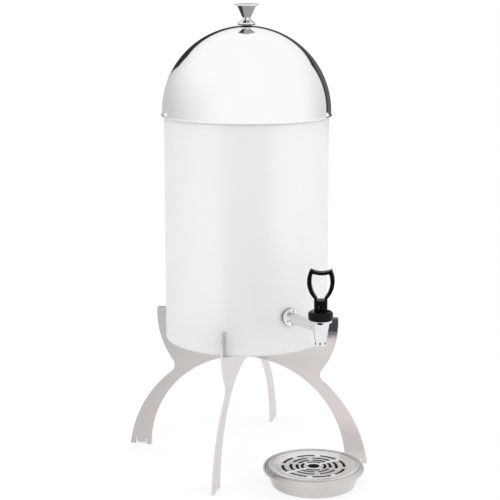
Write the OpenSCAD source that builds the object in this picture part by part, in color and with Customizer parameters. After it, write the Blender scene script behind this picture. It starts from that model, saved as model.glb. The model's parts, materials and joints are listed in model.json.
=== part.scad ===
// Milk dispenser: a frosted tank under a domed cover, on a stand of two crossed leg plates,
// with a self-closing tap, an ice core inside the tank and a drip tray below the spout.

/* [Stand] */
// Height of the seat that carries the tank
seat_h = 194.6; // [185:0.2:215]
// Thickness of the leg plates
plate_t = 4; // [3:0.5:6]
// Radius of the arch under each plate
arch_r = 161; // [150:1:170]
// Width of a foot at the floor
foot_w = 35.6; // [32:0.2:44]
// Radius of the leg's outer curve
leg_arc_r = 195.9; // [180:0.1:215]
// Depth of that curve's centre below the floor
leg_arc_drop = 24.8; // [10:0.2:35]
// Height of the fingers above the seat
finger_h = 39.2; // [34:1:55]
// Width of a finger at its widest
finger_w = 20.4; // [16:0.2:28]
// Radius of the finger's outer curve
finger_arc_r = 130; // [115:1:145]
// Height of that curve's centre above the seat
finger_arc_h = 30.4; // [20:0.2:40]
// Fillet between finger and leg
neck_fillet_r = 14; // [6:0.5:18]
// How far that fillet bites into the two curves
neck_bite = 0.1; // [0.05:0.05:0.4]
// Rounding of the finger's top corners
finger_corner_r = 3; // [1:0.5:5]
// Gap between finger and tank
finger_gap = 0.8; // [0.5:0.1:2]

/* [Foot glides and bumpers] */
// Width of a foot's inner toe
inner_toe_w = 7.3; // [5:0.1:10]
// Width of a foot's outer toe
outer_toe_w = 9; // [6:0.1:12]
// Width of the slots beside the tongue
toe_slot_w = 2.5; // [1.5:0.1:4]
// Height of those slots
toe_slot_h = 10; // [7:0.5:18]
// How much shorter the tongue is than the toes
tongue_rise = 3; // [2:0.5:5]
// How far the glides stand below the toes
glide_proud = 0.6; // [0.3:0.1:1.5]
// Height of a tank bumper
bumper_h = 4; // [2:0.5:6]
// Depth of the notch that holds a bumper
bumper_depth = 3; // [2:0.5:5]
// Height of a bumper above the seat
bumper_rise = 31.5; // [20:0.5:33]

/* [Tank] */
// Outer diameter of the tank
tank_d = 254; // [235:1:280]
// Height of the tank
tank_h = 364; // [340:1:420]
// Wall of the tank
tank_wall = 5; // [3:0.5:7]
// Thickness of the tank's floor
tank_floor = 6; // [4:0.5:10]
// Rounding of the tank's lower edge
tank_edge_r = 4; // [2:0.5:6]

/* [Ice core] */
// Outer diameter of the ice core
core_d = 76; // [60:1:90]
// Wall of the ice core
core_wall = 1.5; // [1:0.1:3]
// Height of the ice core
core_h = 330; // [280:1:332]
// Height of the ring that locates the core
core_seat_h = 12; // [6:1:20]
// Wall of that ring
core_seat_t = 4.6; // [3:0.2:8]
// Thickness of the core's cap
cap_t = 3; // [2:0.5:5]
// Overhang of the cap past the core
cap_overhang = 2; // [1:0.5:4]
// Depth of the cap's plug
cap_plug_h = 12; // [6:1:18]
// Diameter of the cap's grip
grip_d = 18; // [12:1:26]
// Height of the cap's grip
grip_h = 16; // [10:1:18]

/* [Dome] */
// Thickness of the dome's sheet
dome_t = 0.8; // [0.6:0.1:2]
// Radial gap between tank and dome
dome_gap = 2.2; // [2:0.1:4]
// How far the dome's rim hangs below the tank's top
dome_drop = 14.6; // [10:0.2:20]
// Height of the dome's straight skirt
dome_skirt = 7; // [4:0.5:9]
// Radius of the rolled bead at the rim
dome_bead_r = 1.3; // [0.8:0.1:1.6]
// Thickness of the seat ring inside the dome
ring_t = 1.5; // [1:0.1:3]
// Thickness of the ring's lip
lip_t = 1.2; // [0.8:0.1:2]
// Depth of that lip inside the tank
lip_h = 10; // [6:0.5:14]
// Gap between the lip and the tank's wall
lip_gap = 1; // [0.6:0.1:2]

/* [Knob] */
// Diameter of the knob's top
knob_top_d = 35; // [30:0.5:42]
// Thickness of the knob's top edge
knob_top_t = 2.4; // [1.5:0.1:4]
// Diameter of the cone under the top
knob_cone_d = 29; // [24:0.5:29]
// Height of the cone
knob_cone_h = 19; // [14:0.2:24]
// Diameter of the knob's waist
knob_waist_d = 11.4; // [9.5:0.1:14]
// Height of the waist
knob_waist_h = 1.8; // [1:0.1:4]
// Height of the flare below the waist
knob_flare_h = 5.2; // [3:0.1:8]
// Diameter of the knob's base
knob_base_d = 26.6; // [22:0.2:32]
// Thickness of the knob's base
knob_base_t = 3.2; // [2:0.1:5]
// Diameter of the knob's foot
knob_foot_d = 13; // [10:0.5:18]
// Height of the knob's foot
knob_foot_h = 0.7; // [0.4:0.1:2]
// Diameter of the knob's screw
screw_d = 6; // [4:0.5:7]
// Depth of the screw in the knob
screw_depth = 12; // [8:0.5:18]
// Diameter of the screw's head
screw_head_d = 11; // [9:0.5:13]
// Height of the screw's head
screw_head_h = 4; // [3:0.5:6]
// Diameter of the washer under the head
washer_d = 16; // [14:0.5:22]
// Thickness of that washer
washer_t = 1.2; // [0.8:0.1:2]

/* [Tap] */
// Distance of the tap's axis from the tank's wall
tap_reach = 86; // [75:1:100]
// Height of the shank above the tank's underside
tap_h = 58.4; // [50:0.2:75]
// Diameter of the shank's thread
shank_d = 16; // [14:0.5:18]
// Diameter of the shank beside the collar
shank_neck_d = 17.5; // [16:0.5:19]
// Diameter of the shank beside the tap's body
shank_end_d = 14; // [12:0.5:16]
// Bore of the shank
shank_bore_d = 10; // [8:0.5:11]
// Length of the shank past the nut
shank_tail = 6; // [3:0.5:10]
// Distance from the shank's axis down to the spout's tip
spout_drop = 24.5; // [22:0.5:32]
// Outer diameter of the spout's tip
spout_d = 15.2; // [14:0.2:19]
// Bore of the spout
spout_bore_d = 11; // [9:0.5:12]
// Diameter of the body's cone at its top
body_top_d = 26; // [24:0.5:29]
// Diameter of the body's flange
body_flange_d = 33; // [30:0.5:36]
// Thickness of that flange
body_flange_t = 3.3; // [2:0.1:5]
// Height of the flange above the shank's axis
body_flange_rise = 10.4; // [9:0.1:13]
// Diameter of the thread under the bonnet
thread_d = 25; // [22:0.5:27]
// Height of that thread
thread_h = 6.3; // [5:0.1:6.5]
// Diameter of the valve chamber
chamber_d = 16.4; // [15:0.2:17]
// Depth of the valve seat below the shank's axis
seat_drop = 9; // [7.5:0.1:11]
// Diameter of the vent holes in the spout
vent_d = 3.4; // [1.5:0.1:3.5]
// Number of vent holes
vent_count = 6; // [3:1:8]
// Height of the vent holes above the spout's tip
vent_rise = 4; // [3:0.1:7]

/* [Shank fittings] */
// Diameter of the collar outside the tank
collar_d = 26; // [24:0.5:32]
// Thickness of the collar
collar_t = 8; // [5:0.5:11]
// Rounding of the collar's front edge
collar_edge_r = 2; // [1:0.5:3]
// Diameter of the spanner holes in the collar
spanner_d = 2.2; // [1.5:0.1:2.6]
// Depth of the spanner holes
spanner_depth = 3; // [2:0.5:4]
// Diameter of the circle of spanner holes
spanner_pcd = 20.6; // [19.8:0.2:21.2]
// Number of spanner holes
spanner_count = 6; // [3:1:8]
// Turn of the first spanner hole about the shank
spanner_turn = 25; // [0:1:60]
// Thickness of the gaskets each side of the wall
gasket_t = 2.4; // [2:0.2:5]
// Diameter of the gaskets
gasket_d = 25.5; // [21:0.5:27]
// Size of the inner nut across its flats
nut_flats = 24; // [22:1:30]
// Thickness of the inner nut
nut_t = 8; // [5:0.5:12]

/* [Bonnet and valve] */
// Diameter of the bonnet
bonnet_d = 36.5; // [33:0.5:40]
// Height of the bonnet
bonnet_h = 13.1; // [12.5:0.1:16]
// Thickness of the bonnet's roof
bonnet_roof = 5.2; // [4:0.1:5.4]
// Rounding of the bonnet's upper edge
bonnet_edge_r = 3.4; // [2:0.2:4]
// Rounding of the bonnet's lower edge
bonnet_foot_r = 1.4; // [0.8:0.2:2]
// Thickness of the bonnet's seal
bonnet_seal_t = 1.4; // [1:0.1:1.4]
// Diameter of the valve stem
stem_d = 5; // [4:0.5:6]
// Diameter of the stem's spring collar
stem_collar_d = 10; // [9:0.5:12]
// Thickness of that collar
stem_collar_t = 1.5; // [1:0.1:3]
// Diameter of the seat cup
cup_d = 13.6; // [12.5:0.1:14]
// Height of the seat cup
cup_h = 6; // [5:0.5:7]
// Depth of the stem's socket in the cup
cup_socket_h = 4.5; // [3:0.5:4.5]
// Outer diameter of the spring
spring_d = 9.6; // [8.5:0.1:11]
// Wire of the spring
spring_wire = 1.5; // [0.8:0.1:1.6]
// Diameter of the spring's washer
spring_washer_d = 15; // [12:0.5:15]
// Thickness of that washer
spring_washer_t = 1; // [0.6:0.1:1.2]

/* [Handle] */
// Turn of the handle about the tap's axis, degrees
handle_turn = -36; // [-180:1:180]
// Depth of the handle's loop, front to back
handle_t = 14; // [10:0.5:16]
// Width of the loop
loop_w = 39.6; // [34:0.2:46]
// Radius of the loop's outer sides
loop_arc_r = 36; // [36:0.5:42]
// Height of the loop's widest place above the bonnet
loop_mid_h = 44.2; // [42:0.2:48]
// Width of the loop's side bars
side_bar_w = 6.2; // [4:0.1:7]
// Radius of the loop's inner sides
loop_inner_r = 39; // [36:0.5:46]
// Width of the opening at its floor
loop_floor_w = 11; // [8:0.2:12]
// Height of the opening's floor above the bonnet
loop_floor_h = 16.6; // [15:0.1:17.6]
// Radius of the hollow in the top bar
crown_r = 34; // [28:0.2:42]
// Height of that hollow's lowest point above the bonnet
crown_h = 58; // [55:0.1:61]
// Depth of the top bar
top_bar_h = 4.2; // [3:0.1:7]
// Diameter of the handle's neck
neck_d = 18; // [16:0.5:20]
// Height of the neck above the bonnet
neck_h = 18.7; // [18:0.1:20]
// Rounding of the neck's heel, on which the handle rocks
heel_r = 4.2; // [3.6:0.1:5]
// Gap between heel and bonnet
heel_gap = 0.3; // [0.2:0.05:0.6]
// Diameter of the handle's pin
pin_d = 3; // [2:0.1:3.4]
// Height of the stem above the pin
stem_top_rise = 3.8; // [3:0.1:5]

/* [Drip tray] */
// Place of the tray's axis to the right of the tank's axis
tray_x = 18.3; // [0:0.1:30]
// Place of the tray's axis in front of the tank's axis
tray_y = 170; // [165:0.5:190]
// Outer diameter of the tray's lip
tray_d = 153.4; // [140:0.2:166]
// Height of the tray
tray_h = 30; // [28:0.2:40]
// Diameter of the tray's base
tray_base_d = 128; // [115:0.5:134]
// Diameter of the tray's wall just under its lip
tray_wall_d = 144.6; // [136:0.5:146]
// Sheet of the tray
tray_sheet = 1.5; // [1:0.1:2.5]
// Rounding of the tray's lower edge
tray_edge_r = 4; // [3:0.5:8]
// Radius of the lip's rounded edge
lip_edge_r = 4.4; // [3:0.1:4.5]
// Width of the lip
tray_lip_w = 9.4; // [9:0.2:12]
// Depth of the grid's seat below the lip's top
grid_recess = 2.2; // [1.8:0.1:4]
// Width of the grid's seat
grid_ledge_w = 3.5; // [2:0.1:5]

/* [Drip grid] */
// Sheet of the grid
grid_t = 1.2; // [0.8:0.1:2]
// Gap around the grid
grid_gap = 0.4; // [0.3:0.1:1]
// Diameter of the grid's dish
dish_d = 106; // [98:0.5:112]
// Depth of the grid's dish
dish_h = 1; // [0.6:0.1:1.2]
// Diameter of the middle hole
grid_hole_d = 18; // [12:0.5:22]
// Width of the drain slots
drain_slot_w = 4; // [2:0.1:4.6]

/* [Hidden] */
$fn = 96;
saddle_fn = 720;

// Clearances: pieces bolted or pressed together, running fits, and lids that lift off
fit_gap = 0.05;
run_gap = 0.05;
slip_gap = 0.3;
// Overrun of every cut past the surface it opens
overrun = 1;

// The plates lie on the two diagonals, so the tap looks out midway between two legs
lower_plate_turn = 45;
upper_plate_turn = 135;
leg_turns = [45, 135, 225, 315];

// Tank and what it carries
tank_r = tank_d / 2;
tank_in_r = tank_r - tank_wall;
tank_floor_z = seat_h + tank_floor;
tank_top_z = seat_h + tank_h;
core_r = core_d / 2;
core_in_r = core_r - core_wall;
core_top_z = tank_floor_z + core_h;

// Leg profile, as distance from the axis and height
finger_in_r = tank_r + finger_gap;
finger_out_r = finger_in_r + finger_w;
finger_top_z = seat_h + finger_h;
finger_centre = [finger_out_r - finger_arc_r, seat_h + finger_arc_h];
finger_top_r = finger_centre[0] + sqrt(pow(finger_arc_r, 2) - pow(finger_top_z - finger_centre[1], 2));
foot_out_r = arch_r + foot_w;
leg_centre = [foot_out_r - sqrt(pow(leg_arc_r, 2) - pow(leg_arc_drop, 2)), -leg_arc_drop];
neck_corner = outer_meet(finger_centre, finger_arc_r, leg_centre, leg_arc_r);
neck_reach = neck_fillet_r - neck_bite;
neck_centre = outer_meet(finger_centre, finger_arc_r + neck_reach, leg_centre, leg_arc_r + neck_reach);
finger_root = toward(finger_centre, neck_centre, finger_arc_r - neck_fillet_r / 2);
leg_root = toward(leg_centre, neck_centre, leg_arc_r - neck_fillet_r / 2);
lap_z = (arch_r + seat_h) / 2;
toe_z = glide_proud;
tongue_in_r = arch_r + inner_toe_w;
tongue_out_r = foot_out_r - outer_toe_w;
toe_slot_top_z = toe_z + toe_slot_h;

// Dome and knob
dome_in_r = tank_r + dome_gap;
dome_r = dome_in_r + dome_t;
dome_rim_z = tank_top_z - dome_drop;
dome_spring_z = dome_rim_z + dome_skirt;
dome_top_z = dome_spring_z + dome_r;
screw_r = screw_d / 2;
dome_hole_r = screw_r + slip_gap;
washer_top_z = dome_spring_z + sqrt(pow(dome_in_r, 2) - pow(washer_d / 2, 2)) - fit_gap;
ring_r = sqrt(pow(dome_in_r, 2) - pow(tank_top_z + ring_t - dome_spring_z, 2)) - fit_gap;
lip_r = tank_in_r - lip_gap;

// Tap, along the shank and up its own axis
tap_y = -(tank_r + tap_reach);
shank_z = seat_h + tap_h;
shank_r = shank_d / 2;
collar_back = tank_r + gasket_t + fit_gap;
collar_front = collar_back + collar_t;
nut_front = tank_in_r - gasket_t - fit_gap;
nut_back = nut_front - nut_t;
shank_back = nut_back - shank_tail;
spout_tip_z = shank_z - spout_drop;
valve_seat_z = shank_z - seat_drop;
flange_z = shank_z + body_flange_rise;
bonnet_z = flange_z + body_flange_t;
bonnet_top_z = bonnet_z + bonnet_h;
bonnet_roof_z = bonnet_top_z - bonnet_roof;
thread_top_z = bonnet_z + thread_h;
chamber_r = chamber_d / 2;
stem_r = stem_d / 2;
cup_z = valve_seat_z + fit_gap;
stem_foot_z = cup_z + cup_h - cup_socket_h + fit_gap;
stem_collar_z = cup_z + cup_h + fit_gap;
spring_z = stem_collar_z + stem_collar_t + fit_gap;
spring_washer_z = bonnet_roof_z - spring_washer_t - fit_gap;
pin_z = bonnet_top_z + heel_gap + heel_r;
stem_top_z = pin_z + stem_top_rise;

// Handle, in its own plane: across the loop, and up from the floor
neck_r = neck_d / 2;
neck_top_z = bonnet_top_z + neck_h;
heel_reach = neck_r - heel_r;
loop_mid_z = bonnet_top_z + loop_mid_h;
loop_floor_z = bonnet_top_z + loop_floor_h;
crown_z = bonnet_top_z + crown_h + crown_r;
loop_outer_x = loop_w / 2 - loop_arc_r;
loop_inner_x = loop_w / 2 - side_bar_w - loop_inner_r;
pin_r = pin_d / 2;
pin_inset = pin_d / 4;
stem_slot_w = stem_d + 2 * slip_gap;
stem_slot_top_z = pin_z + norm([stem_r, stem_top_rise]) + slip_gap;

// Drip tray and grid, as distance from the tray's axis and height
tray_r = tray_d / 2;
lip_centre = [tray_r - lip_edge_r, tray_h - lip_edge_r];
lip_in_r = tray_r - tray_lip_w;
grid_seat_z = tray_h - grid_recess;
ledge_in_r = lip_in_r - grid_ledge_w;
tray_corner = [tray_base_d / 2 - tray_edge_r, tray_edge_r];
wall_head = [tray_wall_d / 2, grid_seat_z - tray_sheet];
wall_foot = tangent_foot(tray_corner, tray_edge_r, wall_head);
wall_normal = (wall_foot - tray_corner) / tray_edge_r;
grid_r = lip_in_r - grid_gap;
dish_r = dish_d / 2;
dish_z = grid_seat_z - dish_h;
// Rings of drain slots: their radii as shares of the dish, the slots in each, and the metal between slots
drain_ring_shares = [0.33, 0.475, 0.65, 0.875];
drain_ring_slots = [4, 6, 6, 8];
drain_bridge_share = 0.22;

// Right-hand meeting point of two circles
function outer_meet(c1, r1, c2, r2) =
    let (gap = c2 - c1, d = norm(gap), a = (d * d + r1 * r1 - r2 * r2) / (2 * d))
    let (h = sqrt(r1 * r1 - a * a), along = gap / d)
    c1 + a * along + h * [-along[1], along[0]];

// Point at a given distance from one point towards another
function toward(from, to, distance) = from + distance * (to - from) / norm(to - from);

// Point where a line from above touches the lower right of a circle
function tangent_foot(centre, r, from) =
    let (gap = from - centre, turn = atan2(gap[1], gap[0]) - acos(r / norm(gap)))
    centre + r * [cos(turn), sin(turn)];

// Rectangle between two corners
module span(low, high) translate(low) square(high - low);

// Ring between two radii, standing on a height
module ring(in_r, out_r, z, h) {
    translate([0, 0, z]) difference() {
        cylinder(r = out_r, h = h);
        translate([0, 0, -overrun]) cylinder(r = in_r, h = h + 2 * overrun);
    }
}

// Places a piece on the tap's own upright axis
module at_tap() translate([0, tap_y, 0]) children();

// Turns a piece drawn upwards so that it runs outwards along the shank
module along_shank(start) translate([0, -start, shank_z]) rotate([90, 0, 0]) children();

// Upright sheet as thick as a leg plate
module sheet() rotate([90, 0, 0]) linear_extrude(plate_t, center = true) children();

// Cut right through such a sheet
module cut() rotate([90, 0, 0]) linear_extrude(plate_t + 2 * overrun, center = true) children();

// Part of a half plate inside one of its outer curves
module leg_curve(centre, r) {
    sheet() intersection() {
        translate(centre) circle(r);
        span([-plate_t, toe_z], [foot_out_r + finger_out_r, finger_top_z]);
    }
}

// Removes the square corner outside a rounding
module corner_cut(corner, r, side) {
    translate(corner) mirror([side < 0 ? 1 : 0, 0]) difference() {
        span([-r, -r], [overrun, overrun]);
        translate([-r, -r]) circle(r);
    }
}

// Half of a leg plate: the curves of finger and leg with a web between them, and its cuts
module leg_half() {
    difference() {
        union() {
            leg_curve(finger_centre, finger_arc_r);
            leg_curve(leg_centre, leg_arc_r);
            sheet() polygon([finger_root, neck_centre, leg_root, 2 * neck_corner - neck_centre]);
        }
        cut() translate(neck_centre) circle(neck_fillet_r);
        cut() circle(arch_r);
        cut() span([-plate_t - overrun, seat_h - fit_gap], [finger_in_r, finger_top_z + overrun]);
        cut() corner_cut([finger_top_r, finger_top_z], finger_corner_r, 1);
        cut() corner_cut([finger_in_r, finger_top_z], finger_corner_r / 2, -1);
        cut() span([finger_in_r - overrun, seat_h + bumper_rise],
                   [finger_in_r + bumper_depth, seat_h + bumper_rise + bumper_h]);
        cut() span([tongue_in_r, toe_z - overrun], [tongue_in_r + toe_slot_w, toe_slot_top_z]);
        cut() span([tongue_out_r - toe_slot_w, toe_z - overrun], [tongue_out_r, toe_slot_top_z]);
        cut() span([tongue_in_r, toe_z - overrun], [tongue_out_r, toe_z + tongue_rise]);
    }
}

// Whole leg plate on one diagonal, with a half-lap notch between two heights
module leg_plate(turn, notch_low, notch_high) {
    rotate([0, 0, turn]) difference() {
        union() {
            leg_half();
            mirror([1, 0, 0]) leg_half();
        }
        translate([-plate_t / 2 - fit_gap, -plate_t, notch_low])
            cube([plate_t + 2 * fit_gap, 2 * plate_t, notch_high - notch_low]);
    }
}

module leg_plate_lower() color("lightgray") leg_plate(lower_plate_turn, lap_z - fit_gap, seat_h + overrun);

module leg_plate_upper() color("lightgray") leg_plate(upper_plate_turn, arch_r - overrun, lap_z + fit_gap);

// Clear shoes clipped over the tongues of the feet
module foot_glides() {
    color("whitesmoke") for (turn = leg_turns) rotate([0, 0, turn]) sheet() difference() {
        span([tongue_in_r + fit_gap, 0], [tongue_out_r - fit_gap, toe_slot_top_z - fit_gap]);
        span([tongue_in_r + toe_slot_w - fit_gap, toe_z + tongue_rise - fit_gap],
             [tongue_out_r - toe_slot_w + fit_gap, toe_slot_top_z]);
    }
}

// Soft blocks in the finger notches that steady the tank
module tank_bumpers() {
    color("white") for (turn = leg_turns) rotate([0, 0, turn]) sheet()
        span([tank_r + slip_gap, seat_h + bumper_rise + fit_gap],
             [finger_in_r + bumper_depth - fit_gap, seat_h + bumper_rise + bumper_h - fit_gap]);
}

// Upright drum with a rounded lower edge
module drum(r, h, edge_r) {
    rotate_extrude() {
        span([0, edge_r], [r, h]);
        span([0, 0], [r - edge_r, h]);
        translate([r - edge_r, edge_r]) circle(edge_r);
    }
}

module tank() {
    color("white") difference() {
        translate([0, 0, seat_h]) drum(tank_r, tank_h, tank_edge_r);
        translate([0, 0, tank_floor_z]) cylinder(r = tank_in_r, h = tank_h);
        along_shank(nut_back) cylinder(r = shank_r + fit_gap, h = collar_front - nut_back);
    }
}

// Ring bonded to the tank's floor, which locates the ice core
module core_seat() {
    color("white") ring(core_r + slip_gap, core_r + slip_gap + core_seat_t, tank_floor_z, core_seat_h);
}

// Closed tube that holds ice in the middle of the tank
module ice_core() {
    color("gainsboro") difference() {
        translate([0, 0, tank_floor_z]) cylinder(r = core_r, h = core_h);
        translate([0, 0, tank_floor_z + core_wall]) cylinder(r = core_in_r, h = core_h);
    }
}

module core_cap() {
    plug_r = core_in_r - slip_gap;
    color("white") rotate_extrude() {
        span([0, core_top_z], [core_r + cap_overhang, core_top_z + cap_t]);
        span([0, core_top_z - cap_plug_h], [plug_r, core_top_z + cap_t]);
        span([0, core_top_z], [grip_d / 2 - cap_overhang, core_top_z + cap_t + grip_h]);
        translate([0, core_top_z + cap_t + grip_h / 2]) span([0, 0], [grip_d / 2, grip_h / 2]);
    }
}

// Half section of a dome of one radius down to its rim
module dome_section(r) {
    intersection() {
        translate([0, dome_spring_z]) circle(r);
        span([0, dome_spring_z], [r, dome_spring_z + r]);
    }
    span([0, dome_rim_z + dome_bead_r], [r, dome_spring_z]);
}

module dome_cover() {
    color("silver") rotate_extrude() {
        difference() {
            dome_section(dome_r);
            dome_section(dome_in_r);
            span([0, dome_spring_z], [dome_hole_r, dome_top_z + overrun]);
        }
        translate([dome_r, dome_rim_z + dome_bead_r]) circle(dome_bead_r);
    }
}

// Ring welded inside the dome, which rests on the tank's edge and drops a lip inside it
module dome_seat_ring() {
    color("silver") rotate_extrude() {
        span([lip_r - lip_t, tank_top_z], [ring_r, tank_top_z + ring_t]);
        span([lip_r - lip_t, tank_top_z - lip_h], [lip_r, tank_top_z + ring_t]);
    }
}

// Turned knob, drawn up from its foot
module dome_knob() {
    base_z = dome_top_z + knob_foot_h;
    flare_z = base_z + knob_base_t;
    waist_z = flare_z + knob_flare_h;
    cone_z = waist_z + knob_waist_h;
    top_z = cone_z + knob_cone_h;
    color("silver") difference() {
        rotate_extrude() polygon([
            [0, dome_top_z], [knob_foot_d / 2, dome_top_z], [knob_foot_d / 2, base_z],
            [knob_base_d / 2, base_z], [knob_base_d / 2, flare_z], [knob_waist_d / 2, waist_z],
            [knob_waist_d / 2, cone_z], [knob_cone_d / 2, top_z], [knob_top_d / 2, top_z],
            [knob_top_d / 2, top_z + knob_top_t], [0, top_z + knob_top_t]
        ]);
        translate([0, 0, dome_top_z - overrun])
            cylinder(r = screw_r + fit_gap, h = screw_depth + 2 * overrun);
    }
}

module knob_washer() {
    color("silver") ring(dome_hole_r, washer_d / 2, washer_top_z - washer_t, washer_t);
}

module knob_screw() {
    head_z = washer_top_z - washer_t - fit_gap - screw_head_h;
    socket_r = screw_head_d / 4;
    color("silver") difference() {
        union() {
            translate([0, 0, head_z]) cylinder(r = screw_head_d / 2, h = screw_head_h);
            translate([0, 0, head_z]) cylinder(r = screw_r, h = dome_top_z + screw_depth - head_z);
        }
        translate([0, 0, head_z - overrun]) cylinder(r = socket_r, h = overrun + screw_head_h / 2, $fn = 6);
    }
}

// Cast body: spout, flange and thread on the tap's axis, and the shank to the tank
module tap_body() {
    color("silver") difference() {
        union() {
            at_tap() rotate_extrude() {
                polygon([
                    [0, spout_tip_z], [spout_d / 2, spout_tip_z], [body_top_d / 2, flange_z],
                    [body_flange_d / 2, flange_z], [body_flange_d / 2, bonnet_z], [0, bonnet_z]
                ]);
                span([0, flange_z], [thread_d / 2, thread_top_z]);
            }
            along_shank(shank_back) cylinder(r = shank_r, h = collar_front - shank_back + overrun);
            along_shank(collar_front + fit_gap)
                cylinder(r1 = shank_neck_d / 2, r2 = shank_end_d / 2, h = -tap_y - collar_front - fit_gap);
        }
        at_tap() translate([0, 0, valve_seat_z]) cylinder(r = chamber_r, h = thread_top_z);
        at_tap() translate([0, 0, spout_tip_z - overrun]) cylinder(r = spout_bore_d / 2, h = spout_drop);
        along_shank(shank_back - overrun) cylinder(r = shank_bore_d / 2, h = -tap_y - shank_back + overrun);
        at_tap() for (i = [0 : vent_count - 1])
            translate([0, 0, spout_tip_z + vent_rise]) rotate([90, 0, i * 360 / vent_count + handle_turn])
                cylinder(r = vent_d / 2, h = spout_d);
    }
}

// Round lock collar outside the tank, with holes for a pin spanner
module shank_collar() {
    color("silver") difference() {
        along_shank(collar_back) rotate_extrude() {
            span([shank_r + fit_gap, 0], [collar_d / 2, collar_t - collar_edge_r]);
            span([shank_r + fit_gap, 0], [collar_d / 2 - collar_edge_r, collar_t]);
            translate([collar_d / 2 - collar_edge_r, collar_t - collar_edge_r]) circle(collar_edge_r);
        }
        along_shank(collar_front - spanner_depth) for (i = [0 : spanner_count - 1])
            rotate([0, 0, spanner_turn + i * 360 / spanner_count]) translate([spanner_pcd / 2, 0, 0])
                cylinder(r = spanner_d / 2, h = spanner_depth + overrun);
    }
}

// Washer on the shank between two distances from the tank's axis
module shank_washer(back, front) {
    along_shank(back) difference() {
        cylinder(r = gasket_d / 2, h = front - back);
        translate([0, 0, -overrun]) cylinder(r = shank_r + fit_gap, h = front - back + 2 * overrun);
    }
}

// Gasket outside the wall, hollowed to fit the tank's curve
module outer_gasket() {
    color("dimgray") difference() {
        shank_washer(tank_in_r, tank_r + gasket_t);
        cylinder(r = tank_r + fit_gap, h = tank_top_z, $fn = saddle_fn);
    }
}

// Gasket inside the wall, crowned to fit the tank's curve
module inner_gasket() {
    color("dimgray") intersection() {
        shank_washer(tank_in_r - gasket_t, tank_r);
        cylinder(r = tank_in_r - fit_gap, h = tank_top_z, $fn = saddle_fn);
    }
}

module shank_nut() {
    color("white") along_shank(nut_back) difference() {
        cylinder(r = nut_flats / sqrt(3), h = nut_t, $fn = 6);
        translate([0, 0, -overrun]) cylinder(r = shank_r + fit_gap, h = nut_t + 2 * overrun);
    }
}

// Black cap screwed over the body's thread, with the stem's guide hole in its roof
module bonnet() {
    r = bonnet_d / 2;
    color("#1a1a1a") at_tap() rotate_extrude() difference() {
        union() {
            span([0, bonnet_z + bonnet_foot_r], [r, bonnet_top_z - bonnet_edge_r]);
            span([0, bonnet_z], [r - bonnet_foot_r, bonnet_top_z - bonnet_edge_r]);
            span([0, bonnet_z], [r - bonnet_edge_r, bonnet_top_z]);
            translate([r - bonnet_edge_r, bonnet_top_z - bonnet_edge_r]) circle(bonnet_edge_r);
            translate([r - bonnet_foot_r, bonnet_z + bonnet_foot_r]) circle(bonnet_foot_r);
        }
        span([-overrun, bonnet_z - overrun], [thread_d / 2 + fit_gap, bonnet_roof_z]);
        span([-overrun, bonnet_z], [stem_r + run_gap, bonnet_top_z + overrun]);
    }
}

module bonnet_seal() {
    color("dimgray") at_tap()
        ring(chamber_r + fit_gap, thread_d / 2 - fit_gap, thread_top_z + fit_gap, bonnet_seal_t - fit_gap);
}

// Washer that turns with the spring under the bonnet's roof
module spring_washer() {
    color("silver") at_tap() ring(stem_r + run_gap, spring_washer_d / 2, spring_washer_z, spring_washer_t);
}

// Coil spring round the stem, as the sleeve that its turns fill
module valve_spring() {
    spring_h = spring_washer_z - fit_gap - spring_z;
    color("gray") at_tap() ring(spring_d / 2 - spring_wire, spring_d / 2, spring_z, spring_h);
}

module valve_stem() {
    color("black") at_tap() difference() {
        rotate_extrude() {
            span([0, stem_foot_z], [stem_r, stem_top_z]);
            span([0, stem_collar_z], [stem_collar_d / 2, stem_collar_z + stem_collar_t]);
        }
        rotate([0, 0, handle_turn]) translate([0, 0, pin_z]) rotate([0, 90, 0])
            cylinder(r = pin_r + run_gap, h = neck_d, center = true);
    }
}

// Soft cup that closes the valve seat
module seat_cup() {
    color("white") at_tap() difference() {
        translate([0, 0, cup_z]) cylinder(r = cup_d / 2, h = cup_h);
        translate([0, 0, stem_foot_z - fit_gap]) cylinder(r = stem_r + fit_gap, h = cup_h);
    }
}

// Lens shape between two circles set apart across the loop
module lens(x, r) {
    intersection() {
        translate([x, loop_mid_z]) circle(r);
        translate([-x, loop_mid_z]) circle(r);
    }
}

// Outside of the loop in its own plane: a lens cut by the hollow crown
module loop_outline() {
    difference() {
        lens(loop_outer_x, loop_arc_r);
        translate([0, crown_z]) circle(crown_r);
    }
}

// Opening of the loop: a narrower lens that ends in a straight slot
module loop_opening() {
    difference() {
        union() {
            lens(loop_inner_x, loop_inner_r);
            span([-loop_floor_w / 2, loop_floor_z], [loop_floor_w / 2, loop_mid_z]);
        }
        translate([0, crown_z]) circle(crown_r + top_bar_h);
        span([-loop_w, bonnet_top_z - loop_inner_r], [loop_w, loop_floor_z]);
        span([-loop_w, crown_z - crown_r], [loop_w, crown_z + loop_inner_r]);
    }
}

// Side view of the neck, with a rounded heel at front and back
module heel_outline() {
    span([-heel_reach, pin_z - heel_r], [heel_reach, neck_top_z]);
    span([-neck_r, pin_z], [neck_r, neck_top_z]);
    for (side = [-1, 1]) translate([side * heel_reach, pin_z]) circle(heel_r);
}

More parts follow.
